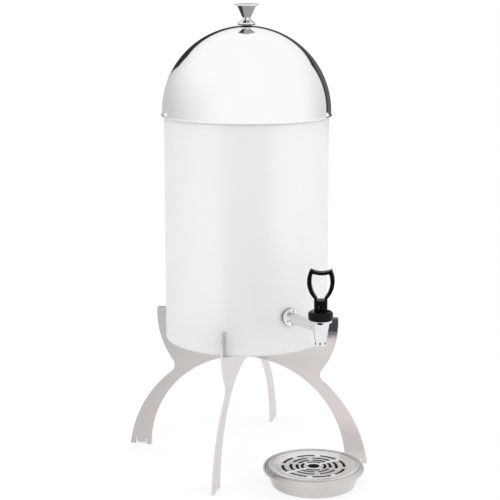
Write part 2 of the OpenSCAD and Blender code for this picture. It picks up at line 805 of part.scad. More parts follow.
module tap_handle() {
    color("#1a1a1a") at_tap() rotate([0, 0, handle_turn]) difference() {
        union() {
            rotate([90, 0, 0]) linear_extrude(handle_t, center = true) loop_outline();
            intersection() {
                rotate([90, 0, 90]) linear_extrude(neck_d, center = true) heel_outline();
                translate([0, 0, bonnet_top_z]) cylinder(r = neck_r, h = neck_h);
            }
        }
        rotate([90, 0, 0]) linear_extrude(neck_d + 2 * overrun, center = true) loop_opening();
        translate([-stem_slot_w / 2, -neck_d, bonnet_top_z])
            cube([stem_slot_w, 2 * neck_d, stem_slot_top_z - bonnet_top_z]);
        translate([0, 0, pin_z]) rotate([0, 90, 0]) cylinder(r = pin_r + fit_gap, h = neck_d + overrun, center = true);
    }
}

module handle_pin() {
    color("silver") at_tap() rotate([0, 0, handle_turn]) translate([0, 0, pin_z]) rotate([0, 90, 0])
        cylinder(r = pin_r, h = neck_d - 2 * pin_inset, center = true);
}

// Places a piece on the drip tray's axis
module at_tray() translate([tray_x, -tray_y, 0]) children();

// Half section of the tray's bowl, drawn in from its outside by a distance
module bowl_section(inset) {
    intersection() {
        union() {
            polygon([
                [0, inset], [tray_corner[0], inset], tray_corner, wall_foot - inset * wall_normal,
                wall_head - inset * wall_normal, [0, wall_head[1]]
            ]);
            translate(tray_corner) circle(tray_edge_r - inset);
        }
        span([0, 0], [max(tray_r, wall_head[0]), wall_head[1]]);
    }
}

// Spun bowl with a broad rounded lip and a ledge that carries the grid
module drip_tray() {
    color("silver") at_tray() rotate_extrude() {
        difference() {
            bowl_section(0);
            bowl_section(tray_sheet);
        }
        span([min(ledge_in_r, wall_head[0] - tray_sheet), wall_head[1]],
             [max(lip_centre[0], wall_head[0]), grid_seat_z]);
        span([lip_in_r, grid_seat_z - tray_sheet], [lip_centre[0], tray_h]);
        translate(lip_centre) circle(lip_edge_r);
    }
}

// Ring-shaped slots of one circle of the grid
module drain_ring(r, count) {
    step = 360 / count;
    for (i = [0 : count - 1]) rotate([0, 0, i * step]) rotate_extrude(angle = step * (1 - drain_bridge_share))
        span([r - drain_slot_w / 2, dish_z - overrun], [r + drain_slot_w / 2, grid_seat_z + overrun]);
}

// Pressed grid: a flange on the tray's ledge and a shallow slotted dish
module drip_grid() {
    color("silver") at_tray() difference() {
        rotate_extrude() polygon([
            [0, dish_z], [dish_r + grid_t, dish_z], [dish_r + grid_t, grid_seat_z], [grid_r, grid_seat_z],
            [grid_r, grid_seat_z + grid_t], [dish_r, grid_seat_z + grid_t], [dish_r, dish_z + grid_t],
            [0, dish_z + grid_t]
        ]);
        translate([0, 0, dish_z - overrun]) cylinder(r = grid_hole_d / 2, h = dish_h + grid_t);
        for (i = [0 : len(drain_ring_slots) - 1])
            drain_ring(drain_ring_shares[i] * dish_r, drain_ring_slots[i]);
    }
}

leg_plate_lower();
leg_plate_upper();
foot_glides();
tank_bumpers();
tank();
core_seat();
ice_core();
core_cap();
dome_cover();
dome_seat_ring();
dome_knob();
knob_washer();
knob_screw();
tap_body();
shank_collar();
outer_gasket();
inner_gasket();
shank_nut();
bonnet();
bonnet_seal();
spring_washer();
valve_spring();
valve_stem();
seat_cup();
tap_handle();
handle_pin();
drip_tray();
drip_grid();
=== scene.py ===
"""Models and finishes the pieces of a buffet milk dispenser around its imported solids."""

import json
import math

import bpy
from bpy.props import FloatProperty, FloatVectorProperty, IntProperty, PointerProperty
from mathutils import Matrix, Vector


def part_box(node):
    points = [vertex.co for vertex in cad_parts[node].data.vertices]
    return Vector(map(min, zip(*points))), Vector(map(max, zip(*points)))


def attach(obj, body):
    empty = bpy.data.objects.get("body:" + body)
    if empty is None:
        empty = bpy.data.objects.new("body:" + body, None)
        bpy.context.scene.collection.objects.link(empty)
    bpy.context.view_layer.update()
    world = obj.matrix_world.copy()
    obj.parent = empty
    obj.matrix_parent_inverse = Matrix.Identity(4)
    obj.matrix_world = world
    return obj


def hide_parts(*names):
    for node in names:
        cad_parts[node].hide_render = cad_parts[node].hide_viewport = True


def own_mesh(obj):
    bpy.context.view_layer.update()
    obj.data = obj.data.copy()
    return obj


bl_info = {
    "name": "Milk dispenser",
    "version": (1, 0, 0),
    "blender": (4, 5, 0),
    "location": "3D View > Sidebar > Dispenser",
    "description": "Models and finishes the pieces of a buffet milk dispenser",
    "category": "Object",
}

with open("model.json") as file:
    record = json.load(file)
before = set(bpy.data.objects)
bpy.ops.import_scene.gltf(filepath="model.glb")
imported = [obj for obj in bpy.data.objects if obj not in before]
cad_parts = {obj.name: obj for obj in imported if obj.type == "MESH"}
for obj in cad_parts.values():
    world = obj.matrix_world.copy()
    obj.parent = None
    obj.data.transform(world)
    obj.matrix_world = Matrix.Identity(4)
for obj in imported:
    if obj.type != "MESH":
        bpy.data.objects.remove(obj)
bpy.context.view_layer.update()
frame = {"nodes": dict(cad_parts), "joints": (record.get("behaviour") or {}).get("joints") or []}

UP = Vector((0, 0, 1))
ACROSS = Vector((1, 0, 0))
OUTWARD = Vector((0, -1, 0))
ROUND_TURN = 2 * math.pi
LEGS = 4
PLATE_TURNS = (math.radians(45), math.radians(135))

# Distances: between doubled points, in press fits, and from a rounded corner to the arcs beside it
MERGE = 1e-6
FIT = 0.00005
CORNER_ROOM = 0.0025

# Steps of a full turn, from large pieces to small holes
FINE_STEPS, STEPS, SMALL_STEPS, HOLE_STEPS = 192, 128, 96, 32

# Roundings of small edges, from keen to broad
BURR, KEEN, FINE, SOFT, EASED = 0.0002, 0.0003, 0.0004, 0.0005, 0.0006
DULL, BLUNT, MILD, FULL, PLUMP = 0.0008, 0.0009, 0.001, 0.0012, 0.0013
BROAD, DEEP, WIDE, LARGE = 0.0015, 0.0016, 0.0022, 0.0025


# Sizes and colours that a user would change

def length(name, description, default):
    return FloatProperty(name=name, description=description, default=default, min=0.0,
                         precision=5, unit="LENGTH", subtype="DISTANCE")


def turn(name, description, default):
    return FloatProperty(name=name, description=description, default=math.radians(default),
                         unit="ROTATION", subtype="ANGLE")


def share(name, description, default):
    return FloatProperty(name=name, description=description, default=default, min=0.0, max=1.0,
                         subtype="FACTOR")


def count(name, description, default, least=1):
    return IntProperty(name=name, description=description, default=default, min=least)


def power(name, description, default):
    return FloatProperty(name=name, description=description, default=default, min=0.0, unit="POWER")


def tint(name, description, default):
    return FloatVectorProperty(name=name, description=description, default=default, size=3,
                               min=0.0, max=1.0, subtype="COLOR")


class StandSizes(bpy.types.PropertyGroup):
    """Sizes of the crossed leg plates and what is clipped to them."""
    plate: length("Plate", "Thickness of the leg plates", 0.004)
    arch_r: length("Arch", "Radius of the arch under each plate", 0.161)
    foot_w: length("Foot", "Width of a foot at the floor", 0.0356)
    leg_r: length("Leg curve", "Radius of the leg's outer curve", 0.1959)
    leg_drop: length("Leg curve drop", "Depth of that curve's centre below the floor", 0.0248)
    finger_h: length("Finger", "Height of the fingers above the seat", 0.0392)
    finger_w: length("Finger width", "Width of a finger at its widest", 0.0204)
    finger_r: length("Finger curve", "Radius of the finger's outer curve", 0.13)
    finger_rise: length("Finger curve rise", "Height of that curve's centre above the seat", 0.0304)
    neck_r: length("Neck fillet", "Fillet between finger and leg", 0.014)
    corner_r: length("Finger corner", "Rounding of the finger's top corners", 0.003)
    gap: length("Finger gap", "Gap between finger and tank", 0.0008)
    inner_toe: length("Inner toe", "Width of a foot's inner toe", 0.0073)
    outer_toe: length("Outer toe", "Width of a foot's outer toe", 0.009)
    slot_w: length("Toe slot", "Width of the slots beside the tongue", 0.0025)
    slot_h: length("Toe slot height", "Height of those slots", 0.01)
    tongue_rise: length("Tongue", "How much shorter the tongue is than the toes", 0.003)
    toe_z: length("Toes", "Height of the toes above the floor", 0.0006)
    bumper_h: length("Bumper", "Height of a tank bumper", 0.004)
    bumper_depth: length("Bumper depth", "Depth of the notch that holds a bumper", 0.003)
    bumper_rise: length("Bumper rise", "Height of a bumper above the seat", 0.0315)
    edge: length("Edge", "Rounding of the cut edges", 0.0005)


class TankSizes(bpy.types.PropertyGroup):
    """Sizes of the tank and of the ice core in it."""
    wall: length("Wall", "Wall of the tank", 0.005)
    floor: length("Floor", "Thickness of the tank's floor", 0.006)
    edge: length("Lower edge", "Rounding of the tank's lower edge", 0.004)
    rim: length("Rim", "Rounding of the tank's upper edge", 0.0012)
    hole_r: length("Tap hole", "Radius of the hole for the shank", 0.00805)
    core_wall: length("Core wall", "Wall of the ice core", 0.0015)
    core_edge: length("Core edge", "Rounding of the core's lower edge", 0.003)
    cap: length("Cap", "Thickness of the core's cap", 0.003)
    grip_r: length("Grip", "Radius of the cap's grip", 0.009)
    grip_neck_r: length("Grip neck", "Radius of the grip's neck", 0.007)
    plug_r: length("Plug", "Radius of the cap's plug", 0.0362)
    plug_h: length("Plug height", "Depth of the cap's plug", 0.012)


class DomeSizes(bpy.types.PropertyGroup):
    """Sizes of the dome, its seat ring and its knob."""
    sheet: length("Sheet", "Thickness of the dome's sheet", 0.0008)
    skirt: length("Skirt", "Height of the dome's straight skirt", 0.007)
    bead_r: length("Bead", "Radius of the rolled bead at the rim", 0.0013)
    hole_r: length("Knob hole", "Radius of the hole for the knob's screw", 0.0033)
    lip: length("Ring lip", "Thickness of the seat ring's lip", 0.0012)
    ring: length("Ring", "Thickness of the seat ring", 0.0015)
    lip_r: length("Lip radius", "Outer radius of that lip", 0.121)
    foot_r: length("Knob foot", "Radius of the knob's foot", 0.0065)
    foot_h: length("Knob foot height", "Height of the knob's foot", 0.0007)
    base_r: length("Knob base", "Radius of the knob's base", 0.0133)
    base_h: length("Knob base height", "Thickness of the knob's base", 0.0032)
    flare_h: length("Knob flare", "Height of the flare below the waist", 0.0052)
    waist_r: length("Knob waist", "Radius of the knob's waist", 0.0057)
    waist_h: length("Knob waist height", "Height of the waist", 0.0018)
    cone_r: length("Knob cone", "Radius of the cone under the top", 0.0145)
    cone_h: length("Knob cone height", "Height of that cone", 0.019)
    crown: length("Knob crown", "Rise of the knob's top face", 0.0008)
    screw_r: length("Screw", "Radius of the hole in the knob", 0.00305)
    screw_h: length("Screw depth", "Depth of that hole", 0.013)


class TapSizes(bpy.types.PropertyGroup):
    """Sizes of the tap, its shank, bonnet and spring."""
    spout_r: length("Spout", "Outer radius of the spout's tip", 0.0076)
    bore_r: length("Spout bore", "Radius of the spout's bore", 0.0055)
    cone_r: length("Cone", "Radius of the body's cone at its top", 0.013)
    flange_r: length("Flange", "Radius of the body's flange", 0.0165)
    flange_h: length("Flange height", "Thickness of that flange", 0.0033)
    thread_r: length("Thread", "Radius of the thread under the bonnet", 0.0125)
    chamber_r: length("Chamber", "Radius of the valve chamber", 0.0082)
    seat_drop: length("Valve seat", "Depth of the valve seat below the shank's axis", 0.009)
    shank_r: length("Shank", "Radius of the shank's thread", 0.008)
    shank_bore_r: length("Shank bore", "Radius of the shank's bore", 0.005)
    neck_r: length("Shank neck", "Radius of the shank beside the collar", 0.00875)
    end_r: length("Shank end", "Radius of the shank beside the body", 0.007)
    vent_r: length("Vent", "Radius of the vent holes", 0.0017)
    vent_rise: length("Vent rise", "Height of the vent holes above the tip", 0.004)
    vents: count("Vents", "Number of vent holes", 6)
    spanner_r: length("Spanner hole", "Radius of the collar's spanner holes", 0.0011)
    spanner_ring_r: length("Spanner ring", "Radius of the ring of spanner holes", 0.0103)
    spanner_depth: length("Spanner depth", "Depth of the spanner holes", 0.003)
    spanner_turn: turn("Spanner turn", "Turn of the first spanner hole about the shank", 25.0)
    port_w: length("Port", "Width of the oval port under the bonnet", 0.0098)
    port_h: length("Port height", "Height of that port", 0.0042)
    port_rise: length("Port rise", "Height of the port's middle above the flange's lower edge", 0.0006)
    spanners: count("Spanner holes", "Number of spanner holes", 6)
    collar_edge: length("Collar edge", "Rounding of the collar's front edge", 0.002)
    bonnet_edge: length("Bonnet edge", "Rounding of the bonnet's upper edge", 0.0045)
    bonnet_foot: length("Bonnet foot", "Rounding of the bonnet's lower edge", 0.0026)
    bonnet_roof: length("Bonnet roof", "Thickness of the bonnet's roof", 0.0052)
    guide_r: length("Stem guide", "Radius of the stem's hole in the bonnet", 0.00255)
    spring_r: length("Spring", "Radius of the spring at the middle of its wire", 0.00405)
    spring_wire_r: length("Spring wire", "Radius of the spring's wire", 0.00075)
    spring_turns: count("Spring turns", "Turns of the spring", 9, 2)


class HandleSizes(bpy.types.PropertyGroup):
    """Sizes of the tap's loop handle."""
    turn: turn("Turn", "Turn of the handle about the tap's axis", -36.0)
    depth: length("Depth", "Depth of the loop, front to back", 0.014)
    width: length("Width", "Width of the loop", 0.0396)
    outer_r: length("Outer sides", "Radius of the loop's outer sides", 0.036)
    mid_h: length("Widest place", "Height of the loop's widest place above the bonnet", 0.0442)
    bar: length("Side bars", "Width of the loop's side bars", 0.0062)
    inner_r: length("Inner sides", "Radius of the loop's inner sides", 0.039)
    floor_w: length("Floor width", "Width of the opening at its floor", 0.011)
    floor_h: length("Floor height", "Height of that floor above the bonnet", 0.0166)
    crown_r: length("Crown", "Radius of the hollow in the top bar", 0.034)
    crown_h: length("Crown height", "Height of that hollow above the bonnet", 0.058)
    top_bar: length("Top bar", "Depth of the top bar", 0.0042)
    neck_r: length("Neck", "Radius of the handle's neck", 0.009)
    post_r: length("Neck width", "Half the width of the neck across the loop", 0.0098)
    neck_h: length("Neck height", "Height of the neck above the bonnet", 0.0187)
    heel_r: length("Heel", "Rounding of the neck's heel", 0.0042)
    heel_gap: length("Heel gap", "Gap between heel and bonnet", 0.0003)
    slot_w: length("Stem slot", "Width of the slot for the stem", 0.0056)
    slot_h: length("Stem slot height", "Height of that slot above the pin", 0.00485)
    pin_r: length("Pin hole", "Radius of the hole for the pin", 0.00155)
    edge: length("Edge", "Rounding of the moulded edges", 0.0011)


class TraySizes(bpy.types.PropertyGroup):
    """Sizes of the drip tray and its grid."""
    sheet: length("Sheet", "Sheet of the tray", 0.0015)
    base_r: length("Base", "Radius of the tray's base", 0.064)
    wall_r: length("Wall", "Radius of the tray's wall just under its lip", 0.0723)
    edge: length("Lower edge", "Rounding of the tray's lower edge", 0.004)
    lip_edge: length("Lip edge", "Radius of the lip's rounded edge", 0.0044)
    lip_w: length("Lip", "Width of the lip", 0.0094)
    recess: length("Recess", "Depth of the grid's seat below the lip", 0.0022)
    ledge: length("Ledge", "Width of the grid's seat", 0.0035)
    grid: length("Grid", "Sheet of the grid", 0.0012)
    dish_r: length("Dish", "Radius of the grid's dish", 0.053)
    hole_r: length("Middle hole", "Radius of the grid's middle hole", 0.009)
    slot_w: length("Drain slots", "Width of the drain slots", 0.0048)
    bridge: share("Bridge", "Share of each slot's turn that stays metal", 0.22)


class Finishes(bpy.types.PropertyGroup):
    """Colours of the dispenser's finishes."""
    leg_steel: tint("Leg steel", "Polished sheet of the stand", (0.62, 0.592, 0.578))
    dome_steel: tint("Dome steel", "Mirror finish of the dome", (0.97, 0.967, 0.963))
    knob_steel: tint("Knob steel", "Turned steel of the knob", (0.62, 0.62, 0.61))
    tap_chrome: tint("Chrome", "Plating of the tap's body", (0.79, 0.795, 0.805))
    collar_chrome: tint("Collar chrome", "Plating of the shank's collar", (0.84, 0.85, 0.86))
    tray_steel: tint("Tray steel", "Spun sheet of the tray", (0.64, 0.61, 0.595))
    # Painted highlight: the grid's steel is set lighter than the tray's steel, for the brighter light on
    # the grid.
    grid_steel: tint("Grid steel", "Sheet of the grid", (0.80, 0.79, 0.78))
    # Partly real, partly painted shade: the ice core is a real part, and its steel is kept dark so that it
    # shows through the frosted wall as the soft darker band down the tank's middle.
    core_steel: tint("Core steel", "Brushed tube of the ice core", (0.30, 0.30, 0.295))
    frosted_wall: tint("Frosted wall", "Outside of the tank", (0.965, 0.965, 0.966))
    clear_lining: tint("Lining", "Inside of the tank", (0.985, 0.985, 0.985))
    white_plastic: tint("White plastic", "Cap, core seat and nut", (0.82, 0.82, 0.80))
    soft_white: tint("Soft white", "Bumpers and seat cup", (0.78, 0.78, 0.76))
    clear_glide: tint("Glides", "Clear shoes of the feet", (0.95, 0.955, 0.96))
    black_plastic: tint("Black plastic", "Handle and stem", (0.0022, 0.0022, 0.0025))
    bonnet_black: tint("Bonnet black", "Glossier plastic of the bonnet", (0.004, 0.004, 0.0045))
    dark_rubber: tint("Rubber", "Gaskets and seal", (0.05, 0.05, 0.055))
    spring_steel: tint("Spring steel", "Valve spring, washers, pin and screw", (0.45, 0.45, 0.46))


class StageSettings(bpy.types.PropertyGroup):
    """Floor, light and camera."""
    floor_r: length("Floor", "Radius of the pale floor", 2.2)
    floor_glow: share("Floor glow", "Share of the floor that stays white in shadow", 0.82)
    ambient: FloatProperty(name="Ambient", description="Strength of the even light", default=1.22, min=0.0)
    key: power("Key lamp", "Power of the key lamp", 9.0)
    fill: power("Fill lamp", "Power of the fill lamp", 8.0)
    strip: power("Strip lamps", "Power of each upright strip", 3.0)
    camera_turn: turn("Camera turn", "Camera's place round the dispenser", -30.16)
    camera_pitch: turn("Camera pitch", "How far the camera looks down", 10.69)
    camera_away: length("Camera distance", "Distance of the camera along the floor", 2.14094)
    camera_h: length("Camera height", "Height of the camera", 0.75739)
    lens: FloatProperty(name="Lens", description="Focal length", default=100.3, unit="CAMERA")


# Drawing and modelling

def pick(*pieces):
    """Selects just these pieces, the first as the active one."""
    if bpy.context.object and bpy.context.object.mode != "OBJECT":
        bpy.ops.object.mode_set(mode="OBJECT")
    bpy.ops.object.select_all(action="DESELECT")
    for piece in pieces:
        piece.select_set(True)
    if pieces:
        bpy.context.view_layer.objects.active = pieces[0]


def begin(piece):
    """Opens one piece for editing with everything in it selected."""
    pick(piece)
    bpy.ops.object.mode_set(mode="EDIT")
    bpy.ops.mesh.select_mode(type="VERT")
    bpy.ops.mesh.select_all(action="SELECT")


def weld():
    """Selects everything in the open piece and merges doubled points."""
    bpy.ops.mesh.select_all(action="SELECT")
    bpy.ops.mesh.remove_doubles(threshold=MERGE)


def leave():
    bpy.ops.object.mode_set(mode="OBJECT")


def close():
    """Merges doubled points, turns faces outwards and ends the editing."""
    weld()
    bpy.ops.mesh.normals_make_consistent(inside=False)
    leave()


def heading(angle):
    """Level direction at an angle in radians."""
    return Vector((math.cos(angle), math.sin(angle), 0.0))


def arc(centre, radius, start, end, steps):
    """Points on an arc, from one angle in radians to another."""
    centre = Vector(centre)
    return [centre + radius * Vector((math.cos(a), math.sin(a)))
            for a in (start + (end - start) * i / steps for i in range(steps + 1))]


def bearing(start, end):
    """Angle of the line from one point of a drawing to another."""
    return math.atan2(end[1] - start[1], end[0] - start[0])


def clear_of(points, *corners):
    """Points that leave room for the roundings of some corners."""
    return [p for p in points if all((p - corner).length > CORNER_ROOM for corner in corners)]


def sharp(points):
    """Corners without rounding."""
    return [(p[0], p[1], 0.0) for p in points]


def mirrored(corners):
    """Corners on the other side of the upright axis, in the opposite order."""
    return [(-x, y, radius) for x, y, radius in reversed(corners)]


def rounded(corners, closed=False, steps=6):
    """Outline through corners of (across, up, rounding), with an arc at each rounded one."""
    points = []
    last = len(corners) - 1
    for i, (x, y, radius) in enumerate(corners):
        here = Vector((x, y))
        if not radius or (not closed and i in (0, last)):
            points.append(here)
            continue
        back = Vector(corners[i - 1][:2]) - here
        on = Vector(corners[(i + 1) % (last + 1)][:2]) - here
        half = back.angle(on) / 2
        reach = min(radius / math.tan(half), 0.49 * back.length, 0.49 * on.length)
        radius = reach * math.tan(half)
        centre = here + (back.normalized() + on.normalized()).normalized() * radius / math.sin(half)
        start = bearing(centre, here + back.normalized() * reach)
        end = bearing(centre, here + on.normalized() * reach)
        sweep = (end - start + math.pi) % ROUND_TURN - math.pi
        points += arc(centre, radius, start, start + sweep, steps)
    return points


def draw(points):
    """Draws a chain of edges through points in space, in the piece that is open."""
    bpy.ops.mesh.merge(type="CENTER")
    bpy.ops.transform.translate(value=points[0])
    for here, there in zip(points, points[1:]):
        bpy.ops.mesh.extrude_region_move(TRANSFORM_OT_translate={"value": there - here})


def start_piece(name, points):
    """Starts a piece from a small plane that is drawn out into a chain of edges."""
    pick()
    bpy.ops.mesh.primitive_plane_add(size=0.01)
    piece = bpy.context.object
    piece.name = piece.data.name = name
    begin(piece)
    draw(points)
    return piece


def lathe(name, profile, steps, origin=(0, 0, 0), axis=UP, closed=False):
    """Turns a profile of (radius, distance along the axis) about that axis."""
    origin = Vector(origin)
    points = [origin + ACROSS * r + axis * h for r, h in profile]
    piece = start_piece(name, points + points[:1] if closed else points)
    bpy.ops.mesh.select_all(action="SELECT")
    bpy.ops.mesh.spin(steps=steps, angle=ROUND_TURN, center=origin, axis=axis)
    close()
    return piece


def plate(name, outline, thickness, origin=(0, 0, 0), across=ACROSS, holes=()):
    """Cuts an upright plate to an outline, with holes, drawn across and up from an origin."""
    through = across.cross(UP)

    def placed(points):
        chain = [Vector(origin) + across * p[0] + UP * p[1] - through * (thickness / 2) for p in points]
        return chain + chain[:1]

    piece = start_piece(name, placed(outline))
    for hole in holes:
        bpy.ops.mesh.select_all(action="DESELECT")
        bpy.ops.mesh.primitive_plane_add(size=0.01)
        draw(placed(hole))
    weld()
    if holes:
        bpy.ops.mesh.fill()
    else:
        bpy.ops.mesh.edge_face_add()
    bpy.ops.mesh.extrude_region_move(TRANSFORM_OT_translate={"value": through * thickness})
    close()
    if holes:
        begin(piece)
        bpy.ops.mesh.dissolve_limited(angle_limit=math.radians(0.2))
        leave()
    return piece


def drum(name, radius, start, end, steps=HOLE_STEPS):
    """Plain round bar between two points, as a tool for cutting."""
    start, end = Vector(start), Vector(end)
    along = end - start
    pick()
    bpy.ops.mesh.primitive_cylinder_add(vertices=steps, radius=radius, depth=along.length,
                                        location=(start + end) / 2,
                                        rotation=along.to_track_quat("Z", "Y").to_euler())
    tool = bpy.context.object
    tool.name = name
    bpy.ops.object.transform_apply(location=True, rotation=True, scale=True)
    return tool


def apply(piece, kind, **settings):
    """Adds one modifier with its settings and applies it."""
    pick(piece)
    modifier = piece.modifiers.new(kind.lower(), kind)
    for key, value in settings.items():
        setattr(modifier, key, value)
    bpy.ops.object.modifier_apply(modifier=modifier.name)


def combine(piece, tool, operation="DIFFERENCE"):
    """Cuts, joins or intersects a piece with a tool, which is used up."""
    apply(piece, "BOOLEAN", object=tool, operation=operation, solver="EXACT")
    bpy.data.objects.remove(tool, do_unlink=True)
    begin(piece)
    weld()
    leave()


def join(first, *others):
    """Makes one object of several."""
    pick(first, *others)
    bpy.ops.object.join()
    return first


def smooth(piece, angle=30.0):
    """Smooth shading up to an angle in degrees."""
    pick(piece)
    bpy.ops.object.shade_smooth_by_angle(angle=math.radians(angle))


def ease(piece, width, segments=3, angle=50.0):
    """Rounds the sharp edges and keeps the flat faces flat."""
    apply(piece, "BEVEL", width=width, segments=segments, limit_method="ANGLE",
          angle_limit=math.radians(angle), use_clamp_overlap=False)
    smooth(piece, 35.0)
    apply(piece, "WEIGHTED_NORMAL", mode="FACE_AREA", weight=100, keep_sharp=True)


def dress(data, look):
    """Gives a mesh one finish."""
    data.materials.clear()
    data.materials.append(finish(look))


def fit(piece, look, body, node):
    """Finishes a piece, lets it ride on its body and takes the place of its solid."""
    dress(piece.data, look)
    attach(piece, body)
    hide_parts(node)


def turned(name, corners, steps=STEPS, origin=(0, 0, 0), closed=True, arcs=6, angle=35.0):
    """Turns a piece from the corners of its profile and smooths it."""
    piece = lathe(name, rounded(corners, closed, arcs), steps, origin, closed=closed)
    smooth(piece, angle)
    return piece


# Places that the solids give

def span(node):
    """Lowest and highest height of a solid."""
    low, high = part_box(node)
    return low.z, high.z


def axis_of(node):
    """Foot of a round solid's upright axis."""
    low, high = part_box(node)
    return (low.x + high.x) / 2, (low.y + high.y) / 2, 0.0


def reach(node):
    """Radius of a round upright solid."""
    low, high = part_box(node)
    return (high.x - low.x) / 2


def shank_height():
    """Height of the shank's axis."""
    return sum(span("shank_collar")) / 2


# Finishes

class Signal:
    """A socket whose arithmetic adds Math nodes."""

    def __init__(self, graph, socket):
        self.graph, self.socket = graph, socket

    def __add__(self, other):
        return self.graph.math("ADD", self, other)

    __radd__ = __add__

    def __sub__(self, other):
        return self.graph.math("SUBTRACT", self, other)

    def __rsub__(self, other):
        return self.graph.math("SUBTRACT", other, self)

    def __mul__(self, other):
        return self.graph.math("MULTIPLY", self, other)

    __rmul__ = __mul__

    def __truediv__(self, other):
        return self.graph.math("DIVIDE", self, other)

    def __rtruediv__(self, other):
        return self.graph.math("DIVIDE", other, self)

    def __pow__(self, other):
        return self.graph.math("POWER", self, other)


class Graph:
    """A node tree that is built from the sockets up."""

    def __init__(self, tree):
        self.tree = tree
        tree.nodes.clear()

    def node(self, kind, settings=None, inputs=None, out=0):
        node = self.tree.nodes.new(kind)
        for key, value in (settings or {}).items():
            setattr(node, key, value)
        for key, value in (inputs or {}).items():
            if isinstance(value, Signal):
                self.tree.links.new(value.socket, node.inputs[key])
            else:
                node.inputs[key].default_value = value
        return Signal(self, node.outputs[out]) if node.outputs else None

    def math(self, operation, *values):
        return self.node("ShaderNodeMath", {"operation": operation}, dict(enumerate(values)))

    def place(self, centre=(0, 0, 0), stretch=(1, 1, 1)):
        """Object coordinates, from a centre and stretched."""
        return self.node("ShaderNodeMapping", {"vector_type": "TEXTURE"}, {
            "Vector": self.node("ShaderNodeTexCoord", out="Object"),
            "Location": centre, "Scale": stretch})

    def noise(self, at, scale, detail=3.0, roughness=0.5):
        return self.node("ShaderNodeTexNoise", None, {
            "Vector": at, "Scale": scale, "Detail": detail, "Roughness": roughness})

    def axes(self, at):
        """The three parts of a place."""
        return [self.node("ShaderNodeSeparateXYZ", None, {0: at}, out=i) for i in range(3)]

    def radius(self, at):
        """Distance from the upright axis."""
        x, y, _ = self.axes(at)
        return (x * x + y * y) ** 0.5

    def rings(self, at, pitch, drift=0.0):
        """Waves about the upright axis, one to each pitch."""
        return self.math("SINE", self.radius(at) * (ROUND_TURN / pitch) + drift)

    def rays(self, *kinds):
        """1 for rays of any of these kinds."""
        first, *others = (self.node("ShaderNodeLightPath", out=kind) for kind in kinds)
        for other in others:
            first = self.math("MAXIMUM", first, other)
        return first

    def clip(self, value, low, high):
        """Runs smoothly from 0 to 1 between two values."""
        return self.node("ShaderNodeMapRange", {"interpolation_type": "SMOOTHSTEP"},
                         {"Value": value, "From Min": low, "From Max": high})

    def fade(self, value, low, high):
        """Runs smoothly from 1 to 0 between two values."""
        return 1.0 - self.clip(value, low, high)

    def mix(self, factor, first, second, blend="MIX"):
        return self.node("ShaderNodeMix", {"data_type": "RGBA", "blend_type": blend},
                         {0: factor, 6: first, 7: second}, out=2)

    def grey(self, level):
        return self.node("ShaderNodeCombineXYZ", None, {0: level, 1: level, 2: level})

    def tone(self, colour, level):
        """A colour made lighter or darker by a value."""
        return self.mix(1.0, (*colour, 1.0), self.grey(level), "MULTIPLY")

    def bump(self, height, strength, distance):
        return self.node("ShaderNodeBump", None,
                         {"Strength": strength, "Distance": distance, "Height": height})

    def principled(self, **sockets):
        named = {key.replace("_", " "): value for key, value in sockets.items()}
        return self.node("ShaderNodeBsdfPrincipled", None, named)

    def glow(self, colour):
        return self.node("ShaderNodeEmission", None, {"Color": colour, "Strength": 1.0})

    def blend(self, factor, first, second):
        return self.node("ShaderNodeMixShader", None, {0: factor, 1: first, 2: second})

    def show(self, shader):
        self.node("ShaderNodeOutputMaterial", None, {"Surface": shader})

    def surface(self, **sockets):
        self.show(self.principled(**sockets))


def material(name):
    made = bpy.data.materials.new(name)
    made.use_nodes = True
    return made, Graph(made.node_tree)


def rolled_steel(g, colour):
    """Polished sheet: soft clouds of tone and fine grain along the sheet, with a painted highlight on the
    cut edges, painted shade that darkens one plate towards one end, and a painted shadow line where the
    tank sits.
    """
    half_plate = bpy.context.scene.dispenser_stand.plate / 2
    seat, tank_r = span("tank")[0], reach("tank")
    dull_z, bright_z = 0.15, 0.195
    at = g.place()
    clouds = g.noise(g.place(stretch=(0.12, 0.12, 0.2)), 1.0, 3.0)
    grain = g.noise(g.place(stretch=(0.02, 0.02, 0.0006)), 1.0, 2.0)
    smudge = g.noise(at, 34.0, 5.0, 0.6)
    x, y, z = g.axes(at)
    off = g.math("MINIMUM", g.math("ABSOLUTE", x - y), g.math("ABSOLUTE", x + y)) * math.sqrt(0.5)
    # Painted highlight: the cut edges of the plates are made lighter.
    edge_highlight = g.fade(off, half_plate * 0.72, half_plate * 0.95)
    polish = g.clip(z, dull_z, bright_z)
    # Painted shadow: a thin dark line on the plates just under the tank's floor.
    under = g.clip(z, seat - 0.0016, seat - 0.0006) * g.fade(g.radius(at), tank_r - 0.004, tank_r)
    # Painted shade: 0.35 * (x - y) makes the plate that runs at 135 degrees darker at one end and lighter
    # at the other.
    level = 0.92 + 0.12 * clouds + 0.04 * grain + 0.2 * edge_highlight + 0.35 * (x - y) - 0.4 * under
    red, green, blue = colour
    warm = g.mix(g.clip(smudge * 0.4 + clouds * 0.6, 0.4, 0.65), (*colour, 1.0),
                 (red, green * 0.955, blue * 0.96, 1.0))
    g.surface(Base_Color=g.mix(1.0, warm, g.grey(level), "MULTIPLY"), Metallic=1.0,
              Roughness=0.15 - 0.135 * polish + 0.02 * clouds + 0.01 * smudge,
              Normal=g.bump(grain, 0.05, 0.0002))


